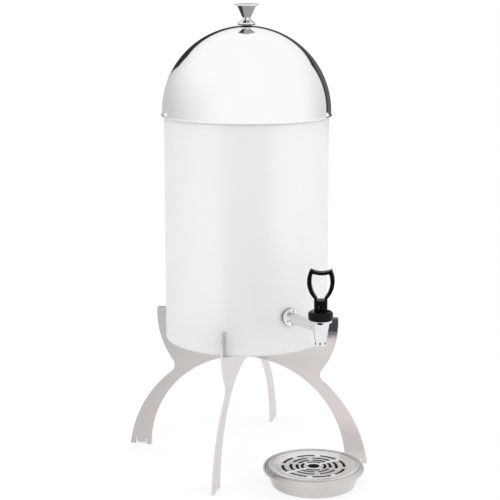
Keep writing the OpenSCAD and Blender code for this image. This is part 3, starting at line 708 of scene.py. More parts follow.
def spun_mirror(g, colour, pitch):
    """Mirror-polished spun sheet with faint rings and a breath of haze."""
    at = g.place()
    haze = g.noise(at, 11.0, 4.0, 0.55)
    wipe = g.noise(g.place(stretch=(0.05, 0.05, 0.008)), 1.0, 2.0)
    g.surface(Base_Color=g.tone(colour, 0.97 + 0.04 * haze), Metallic=1.0,
              Roughness=0.035 + 0.04 * haze + 0.02 * wipe,
              Normal=g.bump(g.rings(at, pitch) + wipe, 0.012, 0.00005))


def plated(g, colour, hollow_shade):
    """Chrome plate over a cast body: almost a mirror, slight orange peel, and painted shade in its bores
    and holes.
    """
    at = g.place()
    peel = g.noise(at, 260.0, 2.0)
    haze = g.noise(at, 45.0, 4.0)
    # Painted shade: the bores, vents and holes are made almost black.
    painted_shade = hollow_shade(g, at)
    g.surface(Base_Color=g.tone(colour, (0.94 + 0.1 * haze) * (1.0 - 0.985 * painted_shade)), Metallic=1.0,
              Roughness=0.06 + 0.07 * haze + 0.4 * painted_shade, Normal=g.bump(peel, 0.06, 0.0001))


def body_hole_shade(g, at):
    """Painted shade in the bores, vents and port of the tap's body, which lie inside its cone."""
    s = bpy.context.scene.dispenser_tap
    tip = span("tap_body")[0]
    height = span("bonnet")[0] - s.flange_h - tip
    _, _, z = g.axes(at)
    outside = s.spout_r + (z - tip) * ((s.cone_r - s.spout_r) / height)
    away = g.radius(g.place(centre=axis_of("bonnet")))
    return g.fade(away - outside, -0.0005, -0.00015)


def collar_hole_shade(g, at):
    """Painted shade in the spanner holes of the collar, behind its front face."""
    s = bpy.context.scene.dispenser_tap
    x, y, z = g.axes(at)
    up = z - shank_height()
    off = g.math("ABSOLUTE", (x * x + up * up) ** 0.5 - s.spanner_ring_r)
    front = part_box("shank_collar")[0].y
    return g.fade(off, 1.05 * s.spanner_r, 1.2 * s.spanner_r) * g.clip(y - front, 0.0002, 0.0006)


def turned_bar(g, colour):
    """Steel turned from bar, with painted reflections: broad dark streaks up its cone, narrow ones on the
    flare below, and a much darker foot.
    """
    at = g.place()
    haze = g.noise(at, 90.0, 3.0)
    low, high = span("dome_knob")
    x, y, z = g.axes(at)
    round_it = g.math("ARCTAN2", y, x)
    # Painted reflections: dark streaks set by the angle round the knob.
    broad_reflection = g.clip(g.math("SINE", round_it * 2.0 + 1.57), 0.3, 0.7)
    narrow_reflection = g.clip(g.math("SINE", round_it * 5.0 + 0.75), 0.55, 0.85)
    rise = (z - low) / (high - low)
    cone = g.clip(rise, 0.36, 0.4) * g.fade(rise, 0.91, 0.93)
    flare = g.clip(rise, 0.13, 0.16) * (1.0 - cone) * g.fade(rise, 0.5, 0.6)
    foot = g.fade(rise, 0.06, 0.09)
    ring_rate = 9000.0
    rings = g.math("SINE", g.radius(at) * ring_rate)
    level = 1.4 - cone * (0.85 + 0.5 * broad_reflection) - 1.2 * flare * narrow_reflection - 1.2 * foot
    g.surface(Base_Color=g.tone(colour, level * (0.92 + 0.16 * haze)), Metallic=1.0,
              Roughness=0.09 + 0.08 * haze, Normal=g.bump(rings, 0.02, 0.00005))


def turned_steel(g, colour, centre, gloss, pitch, hollow_shade=None):
    """Spun or brushed sheet with fine rings about an upright axis, and painted shade where a shade mask is
    given.
    """
    at = g.place(centre=centre)
    clouds = g.noise(at, 14.0, 3.0)
    rings = g.rings(at, pitch, 3.0 * clouds)
    level = 0.92 + 0.14 * clouds
    # Painted shade from the given mask darkens the sheet.
    if hollow_shade:
        level = level * (1.0 - 0.975 * hollow_shade(g, at))
    g.surface(Base_Color=g.tone(colour, level), Metallic=1.0,
              Roughness=gloss - 0.03 + 0.08 * clouds + 0.02 * rings,
              Normal=g.bump(rings, 0.03, 0.00005))


def tray_shade(g, at):
    """Painted shade inside the tray under its grid, in the step below the lip, and on one side of the tray.
    """
    s = bpy.context.scene.dispenser_tray
    shelf = span("drip_tray")[1] - s.recess
    seat = shelf - s.sheet
    foot_r = s.base_r - 0.0012
    x, y, z = g.axes(at)
    away = g.radius(at)
    # Painted shade: one side of the tray is made darker.
    shaded_side = 0.3 * g.clip(y * 0.5 - x * 0.866, 0.02, 0.07)
    wall = foot_r + z * ((s.wall_r - foot_r) / seat)
    # Painted shade inside the tray, under the grid.
    inside = g.fade(away - wall, -0.0011, -0.0007) * g.fade(z, seat - 0.0005, seat - 0.0001)
    lip_in = reach("drip_tray") - s.lip_w
    # Painted shade in the step below the lip.
    step = g.fade(away - lip_in, 0.0001, 0.0004) * g.clip(z, shelf + 0.0001, shelf + 0.0003)
    return g.math("MAXIMUM", g.math("MAXIMUM", inside, 0.6 * step), shaded_side)


def grid_slot_shade(g, at):
    """Painted shade on the cut sides of the grid's slots."""
    low = span("drip_grid")[0]
    top = low + bpy.context.scene.dispenser_tray.grid
    _, _, z = g.axes(at)
    return g.clip(z, low + 0.00002, low + 0.0001) * g.fade(z, top - 0.0001, top - 0.00003)


def acrylic(g, colour, clear, milky=0.0):
    """Acrylic wall, etched or nearly clear: lets light and soft shapes through."""
    at = g.place()
    etch = g.noise(at, 900.0, 2.0)
    clouds = g.noise(at, 5.0, 2.0)
    shade = g.tone(colour, 0.985 + 0.03 * clouds)
    sheet = g.principled(Base_Color=shade, Roughness=0.28 + 0.03 * clouds, IOR=1.49,
                         Transmission_Weight=clear, Normal=g.bump(etch, 0.05, 0.0001))
    if milky:
        sheet = g.blend(milky, sheet, g.node("ShaderNodeBsdfTranslucent", None, {"Color": shade}))
    g.show(sheet)


def moulded(g, colour, gloss, mottle=0.1, specular=0.5):
    """Moulded plastic: slight mottling, soft wear and a fine skin."""
    at = g.place()
    skin = g.noise(at, 700.0, 2.0)
    clouds = g.noise(at, 60.0, 3.0)
    g.surface(Base_Color=g.tone(colour, 1.0 - mottle / 2 + mottle * clouds),
              Roughness=gloss - 0.05 + 0.1 * clouds, Specular_IOR_Level=specular,
              Normal=g.bump(skin, 0.04, 0.0001))


def clear_plastic(g, colour):
    """Clear moulded shoe with fine scuffs."""
    scuff = g.noise(g.place(), 320.0, 4.0)
    g.surface(Base_Color=g.tone(colour, 0.94 + 0.1 * scuff), Roughness=0.08 + 0.2 * scuff,
              IOR=1.4, Transmission_Weight=0.75, Normal=g.bump(scuff, 0.05, 0.0001))


LOOKS = {
    "leg_steel": (rolled_steel,),
    "dome_steel": (spun_mirror, 0.0035),
    "knob_steel": (turned_bar,),
    "tap_chrome": (plated, body_hole_shade),
    "collar_chrome": (plated, collar_hole_shade),
    "tray_steel": (turned_steel, axis_of("drip_tray"), 0.14, 0.0011, tray_shade),
    "grid_steel": (turned_steel, axis_of("drip_grid"), 0.16, 0.0011, grid_slot_shade),
    "core_steel": (turned_steel, (0, 0, 0), 0.34, 0.002),
    "spring_steel": (turned_steel, axis_of("valve_spring"), 0.3, 0.0006),
    "frosted_wall": (acrylic, 0.32, 0.12),
    "clear_lining": (acrylic, 0.97),
    "white_plastic": (moulded, 0.36),
    "soft_white": (moulded, 0.6),
    "clear_glide": (clear_plastic,),
    "black_plastic": (moulded, 0.24, 0.5, 0.04),
    "bonnet_black": (moulded, 0.1, 0.5, 0.1),
    "dark_rubber": (moulded, 0.62, 0.4),
}
MADE = {}


def finish(name):
    """Finish of that name in the user's colour, made when it is first wanted."""
    if name not in MADE:
        maker, *settings = LOOKS[name]
        MADE[name], graph = material(name)
        maker(graph, tuple(getattr(bpy.context.scene.dispenser_finishes, name)), *settings)
    return MADE[name]


# Pieces

def outer_meet(first, first_r, second, second_r):
    """Right-hand meeting point of a circle and one below it."""
    gap = second - first
    apart = gap.length
    along = (apart ** 2 + first_r ** 2 - second_r ** 2) / (2 * apart)
    off = math.sqrt(first_r ** 2 - along ** 2)
    gap.normalize()
    return first + gap * along + off * Vector((-gap.y, gap.x))


def foot_edges(s):
    """Distances of the foot's edges from the axis: its tongue's slots and its outside."""
    outside = s.arch_r + s.foot_w
    return s.arch_r + s.inner_toe, outside - s.outer_toe, outside


def leg_outline(s, seat, lap, lapped_above):
    """Outline of a leg plate with its half-lap notch, open above or below."""
    seat_cut = seat - FIT
    finger_in = reach("tank") + s.gap
    finger_top = seat + s.finger_h
    finger_c = Vector((finger_in + s.finger_w - s.finger_r, seat + s.finger_rise))
    tongue_in, tongue_out, outside = foot_edges(s)
    leg_c = Vector((outside - math.sqrt(s.leg_r ** 2 - s.leg_drop ** 2), -s.leg_drop))
    neck_c = outer_meet(finger_c, s.finger_r + s.neck_r, leg_c, s.leg_r + s.neck_r)

    notch = s.plate / 2
    slot_top = s.toe_z + s.slot_h
    tongue_z = s.toe_z + s.tongue_rise
    low = seat + s.bumper_rise
    high = low + s.bumper_h
    half = [(notch, lap), (notch, seat_cut)] if lapped_above else [(0, seat_cut)]
    half += [(finger_in, seat_cut), (finger_in, low), (finger_in + s.bumper_depth, low),
             (finger_in + s.bumper_depth, high), (finger_in, high)]
    half = sharp(half)
    top_turn = math.asin((finger_top - finger_c.y) / s.finger_r)
    top_r = finger_c.x + s.finger_r * math.cos(top_turn)
    half += [(finger_in, finger_top, s.corner_r / 2), (top_r, finger_top, s.corner_r)]
    half += sharp(arc(finger_c, s.finger_r, top_turn - 1.6 * s.corner_r / s.finger_r,
                      bearing(finger_c, neck_c), 16))
    neck_start, neck_end = bearing(neck_c, finger_c), bearing(neck_c, leg_c)
    if neck_end < neck_start:
        neck_end += ROUND_TURN
    half += sharp(arc(neck_c, s.neck_r, neck_start, neck_end, 12)[1:-1])
    floor_turn = math.asin((s.toe_z + s.leg_drop) / s.leg_r)
    half += sharp(arc(leg_c, s.leg_r, bearing(leg_c, neck_c), floor_turn, 48))
    half += sharp([(tongue_out, s.toe_z), (tongue_out, slot_top), (tongue_out - s.slot_w, slot_top),
                   (tongue_out - s.slot_w, tongue_z), (tongue_in + s.slot_w, tongue_z),
                   (tongue_in + s.slot_w, slot_top), (tongue_in, slot_top), (tongue_in, s.toe_z)])
    arch_end = math.pi / 2 if lapped_above else math.acos(notch / s.arch_r)
    half += sharp(arc((0, 0), s.arch_r, math.asin(s.toe_z / s.arch_r), arch_end, 72))
    if not lapped_above:
        half.append((notch, lap, 0.0))
    half = rounded(half, steps=5)
    return half + [Vector((-p.x, p.y)) for p in reversed(half) if abs(p.x) > MERGE]


def round_the_legs(first):
    """Copies a piece from the first leg to the other three."""
    copies = []
    for i in range(1, LEGS):
        pick(first)
        bpy.ops.object.duplicate()
        copies.append(bpy.context.object)
        begin(copies[-1])
        bpy.ops.transform.rotate(value=i * math.pi / 2, orient_axis="Z", center_override=(0, 0, 0))
        leave()
    return join(first, *copies)


class DISPENSER_OT_stand(bpy.types.Operator):
    """Model the two crossed leg plates, their glides and the tank's bumpers"""
    bl_idname = "dispenser.stand"
    bl_label = "Stand"

    def execute(self, context):
        s = context.scene.dispenser_stand
        seat = span("tank")[0]
        lap = (s.arch_r + seat) / 2
        for node, angle, lapped_above in (("leg_plate_lower", PLATE_TURNS[0], True),
                                         ("leg_plate_upper", PLATE_TURNS[1], False)):
            piece = plate(node + "_sheet", leg_outline(s, seat, lap, lapped_above), s.plate,
                          across=heading(angle))
            ease(piece, s.edge)
            fit(piece, "leg_steel", "stand", node)

        tongue_in, tongue_out, _ = foot_edges(s)
        left, right = tongue_in + FIT, tongue_out - FIT
        clip_w = s.slot_w - 2 * FIT
        top = s.toe_z + s.slot_h - FIT
        inner = s.toe_z + s.tongue_rise - FIT
        shoe = [(left, 0, DULL), (right, 0, DULL), (right, top, DULL), (right - clip_w, top, DULL),
                (right - clip_w, inner, 0), (left + clip_w, inner, 0), (left + clip_w, top, DULL),
                (left, top, DULL)]

        low = seat + s.bumper_rise + FIT
        high = low + s.bumper_h - 2 * FIT
        pad_gap = 0.0003
        inside = reach("tank") + pad_gap
        outside = reach("tank") + s.gap + s.bumper_depth - FIT
        block = [(inside, low, DULL), (outside, low, 0), (outside, high, 0), (inside, high, DULL)]

        for name, corners, look, node in (("foot_shoes", shoe, "clear_glide", "foot_glides"),
                                          ("finger_pads", block, "soft_white", "tank_bumpers")):
            piece = plate(name, rounded(corners, True, 4), s.plate, across=heading(PLATE_TURNS[0]))
            ease(piece, FINE, 2)
            fit(round_the_legs(piece), look, "stand", node)
        return {"FINISHED"}


class DISPENSER_OT_tank(bpy.types.Operator):
    """Model the frosted tank with its wall, floor and tap hole"""
    bl_idname = "dispenser.tank"
    bl_label = "Tank"

    def execute(self, context):
        s = context.scene.dispenser_tank
        low, high = span("tank")
        outer = reach("tank")
        inner = outer - s.wall
        floor = low + s.floor
        piece = lathe("frosted_tank", rounded([
            (0, low, 0), (outer, low, s.edge), (outer, high, s.rim), (inner, high, s.rim),
            (inner, floor, LARGE), (0, floor, 0)]), FINE_STEPS)
        shank = shank_height()
        overrun = 0.008
        combine(piece, drum("tap_hole", s.hole_r, (0, overrun - inner, shank),
                            (0, -outer - overrun, shank), 2 * HOLE_STEPS))
        smooth(piece)
        fit(piece, "frosted_wall", "tank", "tank")
        piece.data.materials.append(finish("clear_lining"))
        for face in piece.data.polygons:
            inside = face.center.xy.length < outer - s.wall / 2 and face.center.z > low + s.floor / 2
            face.material_index = int(inside)
        return {"FINISHED"}


class DISPENSER_OT_core(bpy.types.Operator):
    """Model the ice core with its seat and cap"""
    bl_idname = "dispenser.core"
    bl_label = "Ice core"

    def execute(self, context):
        s = context.scene.dispenser_tank
        low, high = span("ice_core")
        outer = reach("ice_core")
        inner = outer - s.core_wall
        floor = low + s.core_wall
        tube = turned("ice_tube", [
            (0, low, 0), (outer, low, s.core_edge), (outer, high, EASED), (inner, high, EASED),
            (inner, floor, s.core_edge), (0, floor, 0)], closed=False)
        fit(tube, "core_steel", "ice_core", "ice_core")

        seat_gap = 0.0003
        bore = outer + seat_gap
        low, high = span("core_seat")
        outer = reach("core_seat")
        ring = turned("core_ring", [
            (bore, low, 0), (outer, low, 0), (outer, high, MILD), (bore, high, MILD)])
        fit(ring, "white_plastic", "tank", "core_seat")

        low, high = span("core_cap")
        outer = reach("core_cap")
        shelf = low + s.plug_h
        top = shelf + s.cap
        grip_z = (top + high) / 2
        cap = turned("core_lid", [
            (0, low, 0), (s.plug_r, low, BROAD), (s.plug_r, shelf, 0), (outer, shelf, DULL),
            (outer, top, FULL), (s.grip_neck_r, top, BROAD), (s.grip_neck_r, grip_z, MILD),
            (s.grip_r, grip_z, FULL), (s.grip_r, high, LARGE), (0, high, 0)], SMALL_STEPS, closed=False)
        fit(cap, "white_plastic", "core_cap", "core_cap")
        return {"FINISHED"}


class DISPENSER_OT_dome(bpy.types.Operator):
    """Model the spun dome with its rolled rim, and the seat ring inside it"""
    bl_idname = "dispenser.dome"
    bl_label = "Dome"

    def execute(self, context):
        s = context.scene.dispenser_dome
        low = span("dome_cover")[0]
        spring = low + s.skirt
        outer = reach("dome_cover") - s.bead_r
        inner = outer - s.sheet
        bead_c = Vector((outer, low + s.bead_r))
        inner_turn = math.acos((inner - outer) / s.bead_r)
        outside = arc((0, spring), outer, math.acos(s.hole_r / outer), 0.0, 128)
        bead = arc(bead_c, s.bead_r, math.pi / 2, inner_turn - ROUND_TURN, 20)
        inside = arc((0, spring), inner, 0.0, math.acos(s.hole_r / inner), 40)
        cover = lathe("dome_shell", outside + bead + inside, 256, closed=True)
        smooth(cover)
        fit(cover, "dome_steel", "dome", "dome_cover")

        low, high = span("dome_seat_ring")
        outer = reach("dome_seat_ring")
        shelf = high - s.ring
        lip_in = s.lip_r - s.lip
        ring = turned("dome_ring", [
            (lip_in, low, FINE), (s.lip_r, low, FINE), (s.lip_r, shelf, 0), (outer, shelf, KEEN),
            (outer, high, KEEN), (lip_in, high, MILD)], FINE_STEPS, arcs=4)
        fit(ring, "dome_steel", "dome", "dome_seat_ring")
        return {"FINISHED"}


class DISPENSER_OT_knob(bpy.types.Operator):
    """Turn the dome's knob"""
    bl_idname = "dispenser.knob"
    bl_label = "Knob"

    def execute(self, context):
        s = context.scene.dispenser_dome
        low, high = span("dome_knob")
        top_r = reach("dome_knob")
        hole = low + s.screw_h
        base = low + s.foot_h
        flare = base + s.base_h
        waist = flare + s.flare_h
        cone = waist + s.waist_h
        top = cone + s.cone_h
        crown_part, crown_r = 0.7, 0.02
        knob = turned("turned_knob", [
            (0, hole, 0), (s.screw_r, hole, 0), (s.screw_r, low, 0), (s.foot_r, low, 0),
            (s.foot_r, base, BURR), (s.base_r, base, DULL), (s.base_r, flare, FULL),
            (s.waist_r, waist, DEEP), (s.waist_r, cone, FULL), (s.cone_r, top, DULL),
            (top_r, top, DULL), (top_r, high, BLUNT),
            (top_r * crown_part, high + s.crown * crown_part, crown_r), (0, high + s.crown, 0)],
            closed=False, angle=30.0)
        fit(knob, "knob_steel", "dome", "dome_knob")
        return {"FINISHED"}


class DISPENSER_OT_tap(bpy.types.Operator):
    """Model the tap's cast body with its spout, vents and shank"""
    bl_idname = "dispenser.tap"
    bl_label = "Tap body"

    def execute(self, context):
        s = context.scene.dispenser_tap
        front_turn = context.scene.dispenser_handle.turn - math.pi / 2
        axis = axis_of("bonnet")
        tip, top = span("tap_body")
        bonnet = span("bonnet")[0]
        flange = bonnet - s.flange_h
        shank = shank_height()
        seat = shank - s.seat_drop
        body = lathe("tap_casting", rounded([
            (s.bore_r, tip, KEEN), (s.spout_r, tip, SOFT), (s.cone_r, flange, EASED),
            (s.flange_r, flange, SOFT), (s.flange_r, bonnet, KEEN), (s.thread_r, bonnet, 0),
            (s.thread_r, top, FINE), (s.chamber_r, top, KEEN), (s.chamber_r, seat, 0),
            (s.bore_r, seat, SOFT)], True, 4), STEPS, axis, closed=True)
        back = -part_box("tap_body")[1].y
        front = -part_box("shank_collar")[0].y
        stop_short = 0.0004
        end = -axis[1] - s.chamber_r - stop_short
        neck = s.neck_r + (s.end_r - s.neck_r) * (end - front) / (-axis[1] - front)
        stalk = lathe("tap_stalk", rounded([
            (s.shank_bore_r, back, FINE), (s.shank_r, back, DULL), (s.shank_r, front + FIT, 0),
            (s.neck_r, front + FIT, KEEN), (neck, end, 0), (s.shank_bore_r, end, 0)],
            True, 4), SMALL_STEPS, (0, 0, shank), OUTWARD, True)
        combine(body, stalk, "UNION")
        vent_in, vent_out = 0.003, 0.015
        centre = Vector(axis) + UP * (tip + s.vent_rise)
        for i in range(s.vents):
            away = heading(front_turn + i * ROUND_TURN / s.vents)
            combine(body, drum("vent", s.vent_r, centre + away * vent_in, centre + away * vent_out))
        port_steps, port_depth, port_out = 48, 0.006, 0.0005
        oval = [Vector((s.port_w / 2 * math.cos(a), s.port_h / 2 * math.sin(a)))
                for a in (i * ROUND_TURN / port_steps for i in range(port_steps))]
        facing = heading(front_turn)
        middle = Vector(axis) + facing * (s.cone_r + port_out) + UP * (flange + s.port_rise)
        combine(body, plate("port", oval, port_depth, middle, Vector((-facing.y, facing.x, 0.0))))
        smooth(body)
        fit(body, "tap_chrome", "tank", "tap_body")
        return {"FINISHED"}


class DISPENSER_OT_collar(bpy.types.Operator):
    """Model the shank's collar with its spanner holes"""
    bl_idname = "dispenser.collar"
    bl_label = "Shank collar"

    def execute(self, context):
        s = context.scene.dispenser_tap
        low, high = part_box("shank_collar")
        back, front = -high.y, -low.y
        outer = reach("shank_collar")
        shank = shank_height()
        bore = s.shank_r + FIT
        collar = lathe("shank_ring", rounded([
            (bore, back, 0), (outer, back, FINE), (outer, front, s.collar_edge), (bore, front, KEEN)],
            True), SMALL_STEPS, (0, 0, shank), OUTWARD, True)
        overrun = 0.002
        for i in range(s.spanners):
            angle = s.spanner_turn + i * ROUND_TURN / s.spanners
            x, z = s.spanner_ring_r * math.cos(angle), shank + s.spanner_ring_r * math.sin(angle)
            combine(collar, drum("spanner", s.spanner_r, (x, s.spanner_depth - front, z),
                                 (x, -front - overrun, z)))
        smooth(collar)
        fit(collar, "collar_chrome", "tank", "shank_collar")
        return {"FINISHED"}


class DISPENSER_OT_bonnet(bpy.types.Operator):
    """Model the black bonnet"""
    bl_idname = "dispenser.bonnet"
    bl_label = "Bonnet"

    def execute(self, context):
        s = context.scene.dispenser_tap
        low, high = span("bonnet")
        outer = reach("bonnet")
        roof = high - s.bonnet_roof
        bore = s.thread_r + FIT
        bonnet = turned("tap_bonnet", [
            (bore, low, KEEN), (outer, low, s.bonnet_foot), (outer, high, s.bonnet_edge),
            (s.guide_r, high, FINE), (s.guide_r, roof, 0), (bore, roof, 0)],
            origin=axis_of("bonnet"), arcs=8, angle=30.0)
        fit(bonnet, "bonnet_black", "tank", "bonnet")
        return {"FINISHED"}


class DISPENSER_OT_spring(bpy.types.Operator):
    """Wind the valve spring"""
    bl_idname = "dispenser.spring"
    bl_label = "Valve spring"

    def execute(self, context):
        s = context.scene.dispenser_tap
        low, high = span("valve_spring")
        axis = Vector(axis_of("bonnet"))
        pick()
        bpy.ops.mesh.primitive_circle_add(vertices=12, radius=s.spring_wire_r, rotation=(math.pi / 2, 0, 0),
                                          location=(s.spring_r, 0, low + s.spring_wire_r))
        coil = bpy.context.object
        coil.name = coil.data.name = "spring_coil"
        bpy.ops.object.transform_apply(location=True, rotation=True, scale=True)
        apply(coil, "SCREW", axis="Z", angle=ROUND_TURN, steps=24, render_steps=24,
              iterations=s.spring_turns, use_normal_calculate=True,
              screw_offset=(high - low - 2 * s.spring_wire_r) / s.spring_turns)
        begin(coil)
        bpy.ops.transform.translate(value=axis)
        bpy.ops.mesh.fill_holes(sides=0)
        close()
        smooth(coil, 35.0)
        fit(coil, "spring_steel", "spring_seat", "valve_spring")
        travel = next(j for j in frame["joints"] if j["name"] == "stem_lift")["range_m"][1]
        1 - travel / (high - low)
        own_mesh(coil)
        return {"FINISHED"}


def hollow_between(centre, radius, corner, steps):
    """Arc below a centre from a corner to its mirror image."""
    start = bearing(centre, corner)
    points = arc(centre, radius, start, -math.pi - start, steps)
    return sharp(clear_of(points, corner, Vector((-corner.x, corner.y))))


def loop_outlines(s, base):
    """Outlines of the handle's loop and of its opening, and the height of the opening's lower end."""
    mid = base + s.mid_h
    crown_c = Vector((0, base + s.crown_h + s.crown_r))
    side_c = Vector((s.width / 2 - s.outer_r, mid))
    horn = outer_meet(crown_c, s.crown_r, side_c, s.outer_r)
    into_neck = 0.006
    foot_z = base + s.neck_h - into_neck
    foot_turn = -math.asin((mid - foot_z) / s.outer_r)
    side = arc(side_c, s.outer_r, foot_turn, bearing(side_c, horn), 40)
    right = sharp(clear_of(side, horn)) + [(horn.x, horn.y, PLUMP)]
    hollow = hollow_between(crown_c, s.crown_r, horn, 28)
    outline = rounded(right + hollow + mirrored(right), True, 5)

    in_c = Vector((s.width / 2 - s.bar - s.inner_r, mid))
    under_r = s.crown_r + s.top_bar
    upper = outer_meet(crown_c, under_r, in_c, s.inner_r)
    low_turn = -math.acos((s.floor_w / 2 - in_c.x) / s.inner_r)
    inner = arc(in_c, s.inner_r, low_turn, bearing(in_c, upper), 32)
    inner = sharp(clear_of(inner, upper)) + [(upper.x, upper.y, WIDE)]
    under = hollow_between(crown_c, under_r, upper, 20)
    opening = rounded(inner + under + mirrored(inner), True)
    return outline, opening, mid + s.inner_r * math.sin(low_turn)


class DISPENSER_OT_handle(bpy.types.Operator):
    """Model the loop handle with its rocking neck"""
    bl_idname = "dispenser.handle"
    bl_label = "Handle"

    def execute(self, context):
        s = context.scene.dispenser_handle
        axis = Vector(axis_of("bonnet"))
        base = span("bonnet")[1]
        across = heading(s.turn)
        front = Vector((-across.y, across.x, 0.0))
        outline, opening, low_z = loop_outlines(s, base)
        loop = plate("loop_handle", outline, s.depth, axis, across, [opening])
        ease(loop, s.edge, 4, 40)

        pin = base + s.heel_gap + s.heel_r
        neck_top = base + s.neck_h
        heel = rounded([
            (-s.neck_r, pin - s.heel_r, s.heel_r), (s.neck_r, pin - s.heel_r, s.heel_r),
            (s.neck_r, neck_top, 0), (-s.neck_r, neck_top, 0)], True, 10)
        neck = plate("handle_neck", heel, 2.2 * s.post_r, axis, front)
        post = lathe("neck_post", rounded([
            (0, base, 0), (s.post_r, base, 0), (s.post_r, neck_top, DEEP), (0, neck_top, 0)]),
            SMALL_STEPS, axis)
        combine(neck, post, "INTERSECT")
        combine(loop, neck, "UNION")

        through, overlap, overrun, half_pin = 4 * s.neck_r, 0.001, 0.002, 0.012
        half, floor, well_top = s.floor_w / 2, base + s.floor_h, low_z + overlap
        well = rounded([(-half, floor, FULL), (half, floor, FULL), (half, well_top, 0),
                        (-half, well_top, 0)], True)
        combine(loop, plate("loop_well", well, through, axis, across))
        half, slot_foot, slot_top = s.slot_w / 2, base - overrun, pin + s.slot_h
        slot = [(-half, slot_foot), (half, slot_foot), (half, slot_top), (-half, slot_top)]
        combine(loop, plate("stem_slot", slot, through, axis, across))
        centre = axis + UP * pin
        combine(loop, drum("pin_hole", s.pin_r, centre - across * half_pin, centre + across * half_pin))
        smooth(loop, 32.0)
        fit(loop, "black_plastic", "handle", "tap_handle")
        return {"FINISHED"}


class DISPENSER_OT_tray(bpy.types.Operator):
    """Spin the drip tray"""
    bl_idname = "dispenser.tray"
    bl_label = "Drip tray"

    def execute(self, context):
        s = context.scene.dispenser_tray
        high = span("drip_tray")[1]
        outer = reach("drip_tray")
        lip_c = Vector((outer - s.lip_edge, high - s.lip_edge))
        lip_in = outer - s.lip_w
        ledge_in = lip_in - s.ledge
        seat = high - s.recess
        corner = Vector((s.base_r - s.edge, s.edge))
        head = Vector((s.wall_r, seat - s.sheet))
        lean = bearing(corner, head) - math.acos(s.edge / (head - corner).length)
        foot = corner + s.edge * Vector((math.cos(lean), math.sin(lean)))
        along = (head - foot).normalized()
        off = head - lip_c
        back = off.dot(along) + math.sqrt(off.dot(along) ** 2 - off.length_squared + s.lip_edge ** 2)
        meet = head - along * back
        inner_head = head.x - along.y * s.sheet
        outside = [Vector((0, 0))] + arc(corner, s.edge, -math.pi / 2, lean, 8)
        outside += arc(lip_c, s.lip_edge, bearing(lip_c, meet), math.pi / 2, 20)
        inside = rounded(sharp(outside[-1:]) + [
            (lip_in, high, BLUNT), (lip_in, seat, KEEN), (ledge_in, seat, KEEN),
            (ledge_in, seat - s.sheet, KEEN), (inner_head, seat - s.sheet, 0)], steps=5)[1:]
        floor = arc(corner, s.edge - s.sheet, lean, -math.pi / 2, 8) + [Vector((0, s.sheet))]
        tray = lathe("drip_bowl", outside + inside + floor, FINE_STEPS, axis_of("drip_tray"))
        smooth(tray)
        fit(tray, "tray_steel", "tray", "drip_tray")
        tray.visible_glossy = False
        return {"FINISHED"}


# Drain slots, as (share of the dish's radius, number of slots) for each ring
DRAIN_RINGS = ((0.33, 4), (0.475, 6), (0.65, 6), (0.875, 8))


class DISPENSER_OT_grid(bpy.types.Operator):
    """Press the drip grid and cut its drain slots"""
    bl_idname = "dispenser.grid"
    bl_label = "Drip grid"

    def execute(self, context):
        s = context.scene.dispenser_tray
        low, high = span("drip_grid")
        outer = reach("drip_grid")
        centre = Vector(axis_of("drip_grid"))
        step = s.dish_r + s.grid
        flange = high - s.grid
        grid = lathe("drip_screen", rounded([
            (s.hole_r, low, KEEN), (step, low, SOFT), (step, flange, BURR), (outer, flange, KEEN),
            (outer, high, FINE), (s.dish_r, high, SOFT), (s.dish_r, low + s.grid, BURR),
            (s.hole_r, low + s.grid, FINE)], True, 4), FINE_STEPS, centre, closed=True)
        overrun = 0.001
        bottom, top = low - overrun, high + overrun
        tools = []
        for ring_share, slots in DRAIN_RINGS:
            middle = ring_share * s.dish_r
            in_r, out_r = middle - s.slot_w / 2, middle + s.slot_w / 2
            tool = start_piece("drain_tool", [centre + Vector((x, 0, z)) for x, z in (
                (in_r, bottom), (out_r, bottom), (out_r, top), (in_r, top), (in_r, bottom))])
            weld()
            bpy.ops.mesh.edge_face_add()
            slot_turn = ROUND_TURN / slots
            bpy.ops.mesh.spin(steps=SMALL_STEPS // slots, angle=slot_turn * (1 - s.bridge),
                              center=centre, axis=UP)
            weld()
            bpy.ops.mesh.normals_make_consistent(inside=False)
            for _ in range(slots - 1):
                bpy.ops.mesh.duplicate()
                bpy.ops.transform.rotate(value=slot_turn, orient_axis="Z", center_override=centre)
            leave()
            tools.append(tool)
        combine(grid, join(*tools))
        smooth(grid)
        fit(grid, "grid_steel", "grid", "drip_grid")
        grid.visible_glossy = False
        return {"FINISHED"}


FITTINGS = {
    "dark_rubber": ("outer_gasket", "inner_gasket", "bonnet_seal"),
    "spring_steel": ("knob_washer", "knob_screw", "spring_washer", "handle_pin"),
    "white_plastic": ("shank_nut",),
    # Painted shade: the valve stem is finished black so that the slot in the handle's neck looks dark.
    "black_plastic": ("valve_stem",),
    "soft_white": ("seat_cup",),
}


class DISPENSER_OT_fittings(bpy.types.Operator):
    """Finish the small fittings that keep their solids"""
    bl_idname = "dispenser.fittings"
    bl_label = "Small fittings"

    def execute(self, context):
        for look, nodes in FITTINGS.items():
            for node in nodes:
                dress(frame["nodes"][node].data, look)
        return {"FINISHED"}


# Corners of the dark card, which lies on the floor and shows only in mirrors
DARK_CARD = ((-0.52, -0.57), (-0.55, -0.51), (-0.53, -0.455), (-0.60, -0.395), (-0.80, -0.52),
             (-0.70, -0.72), (-0.56, -0.66))
WHITE = (1.0, 1.0, 1.0, 1.0)


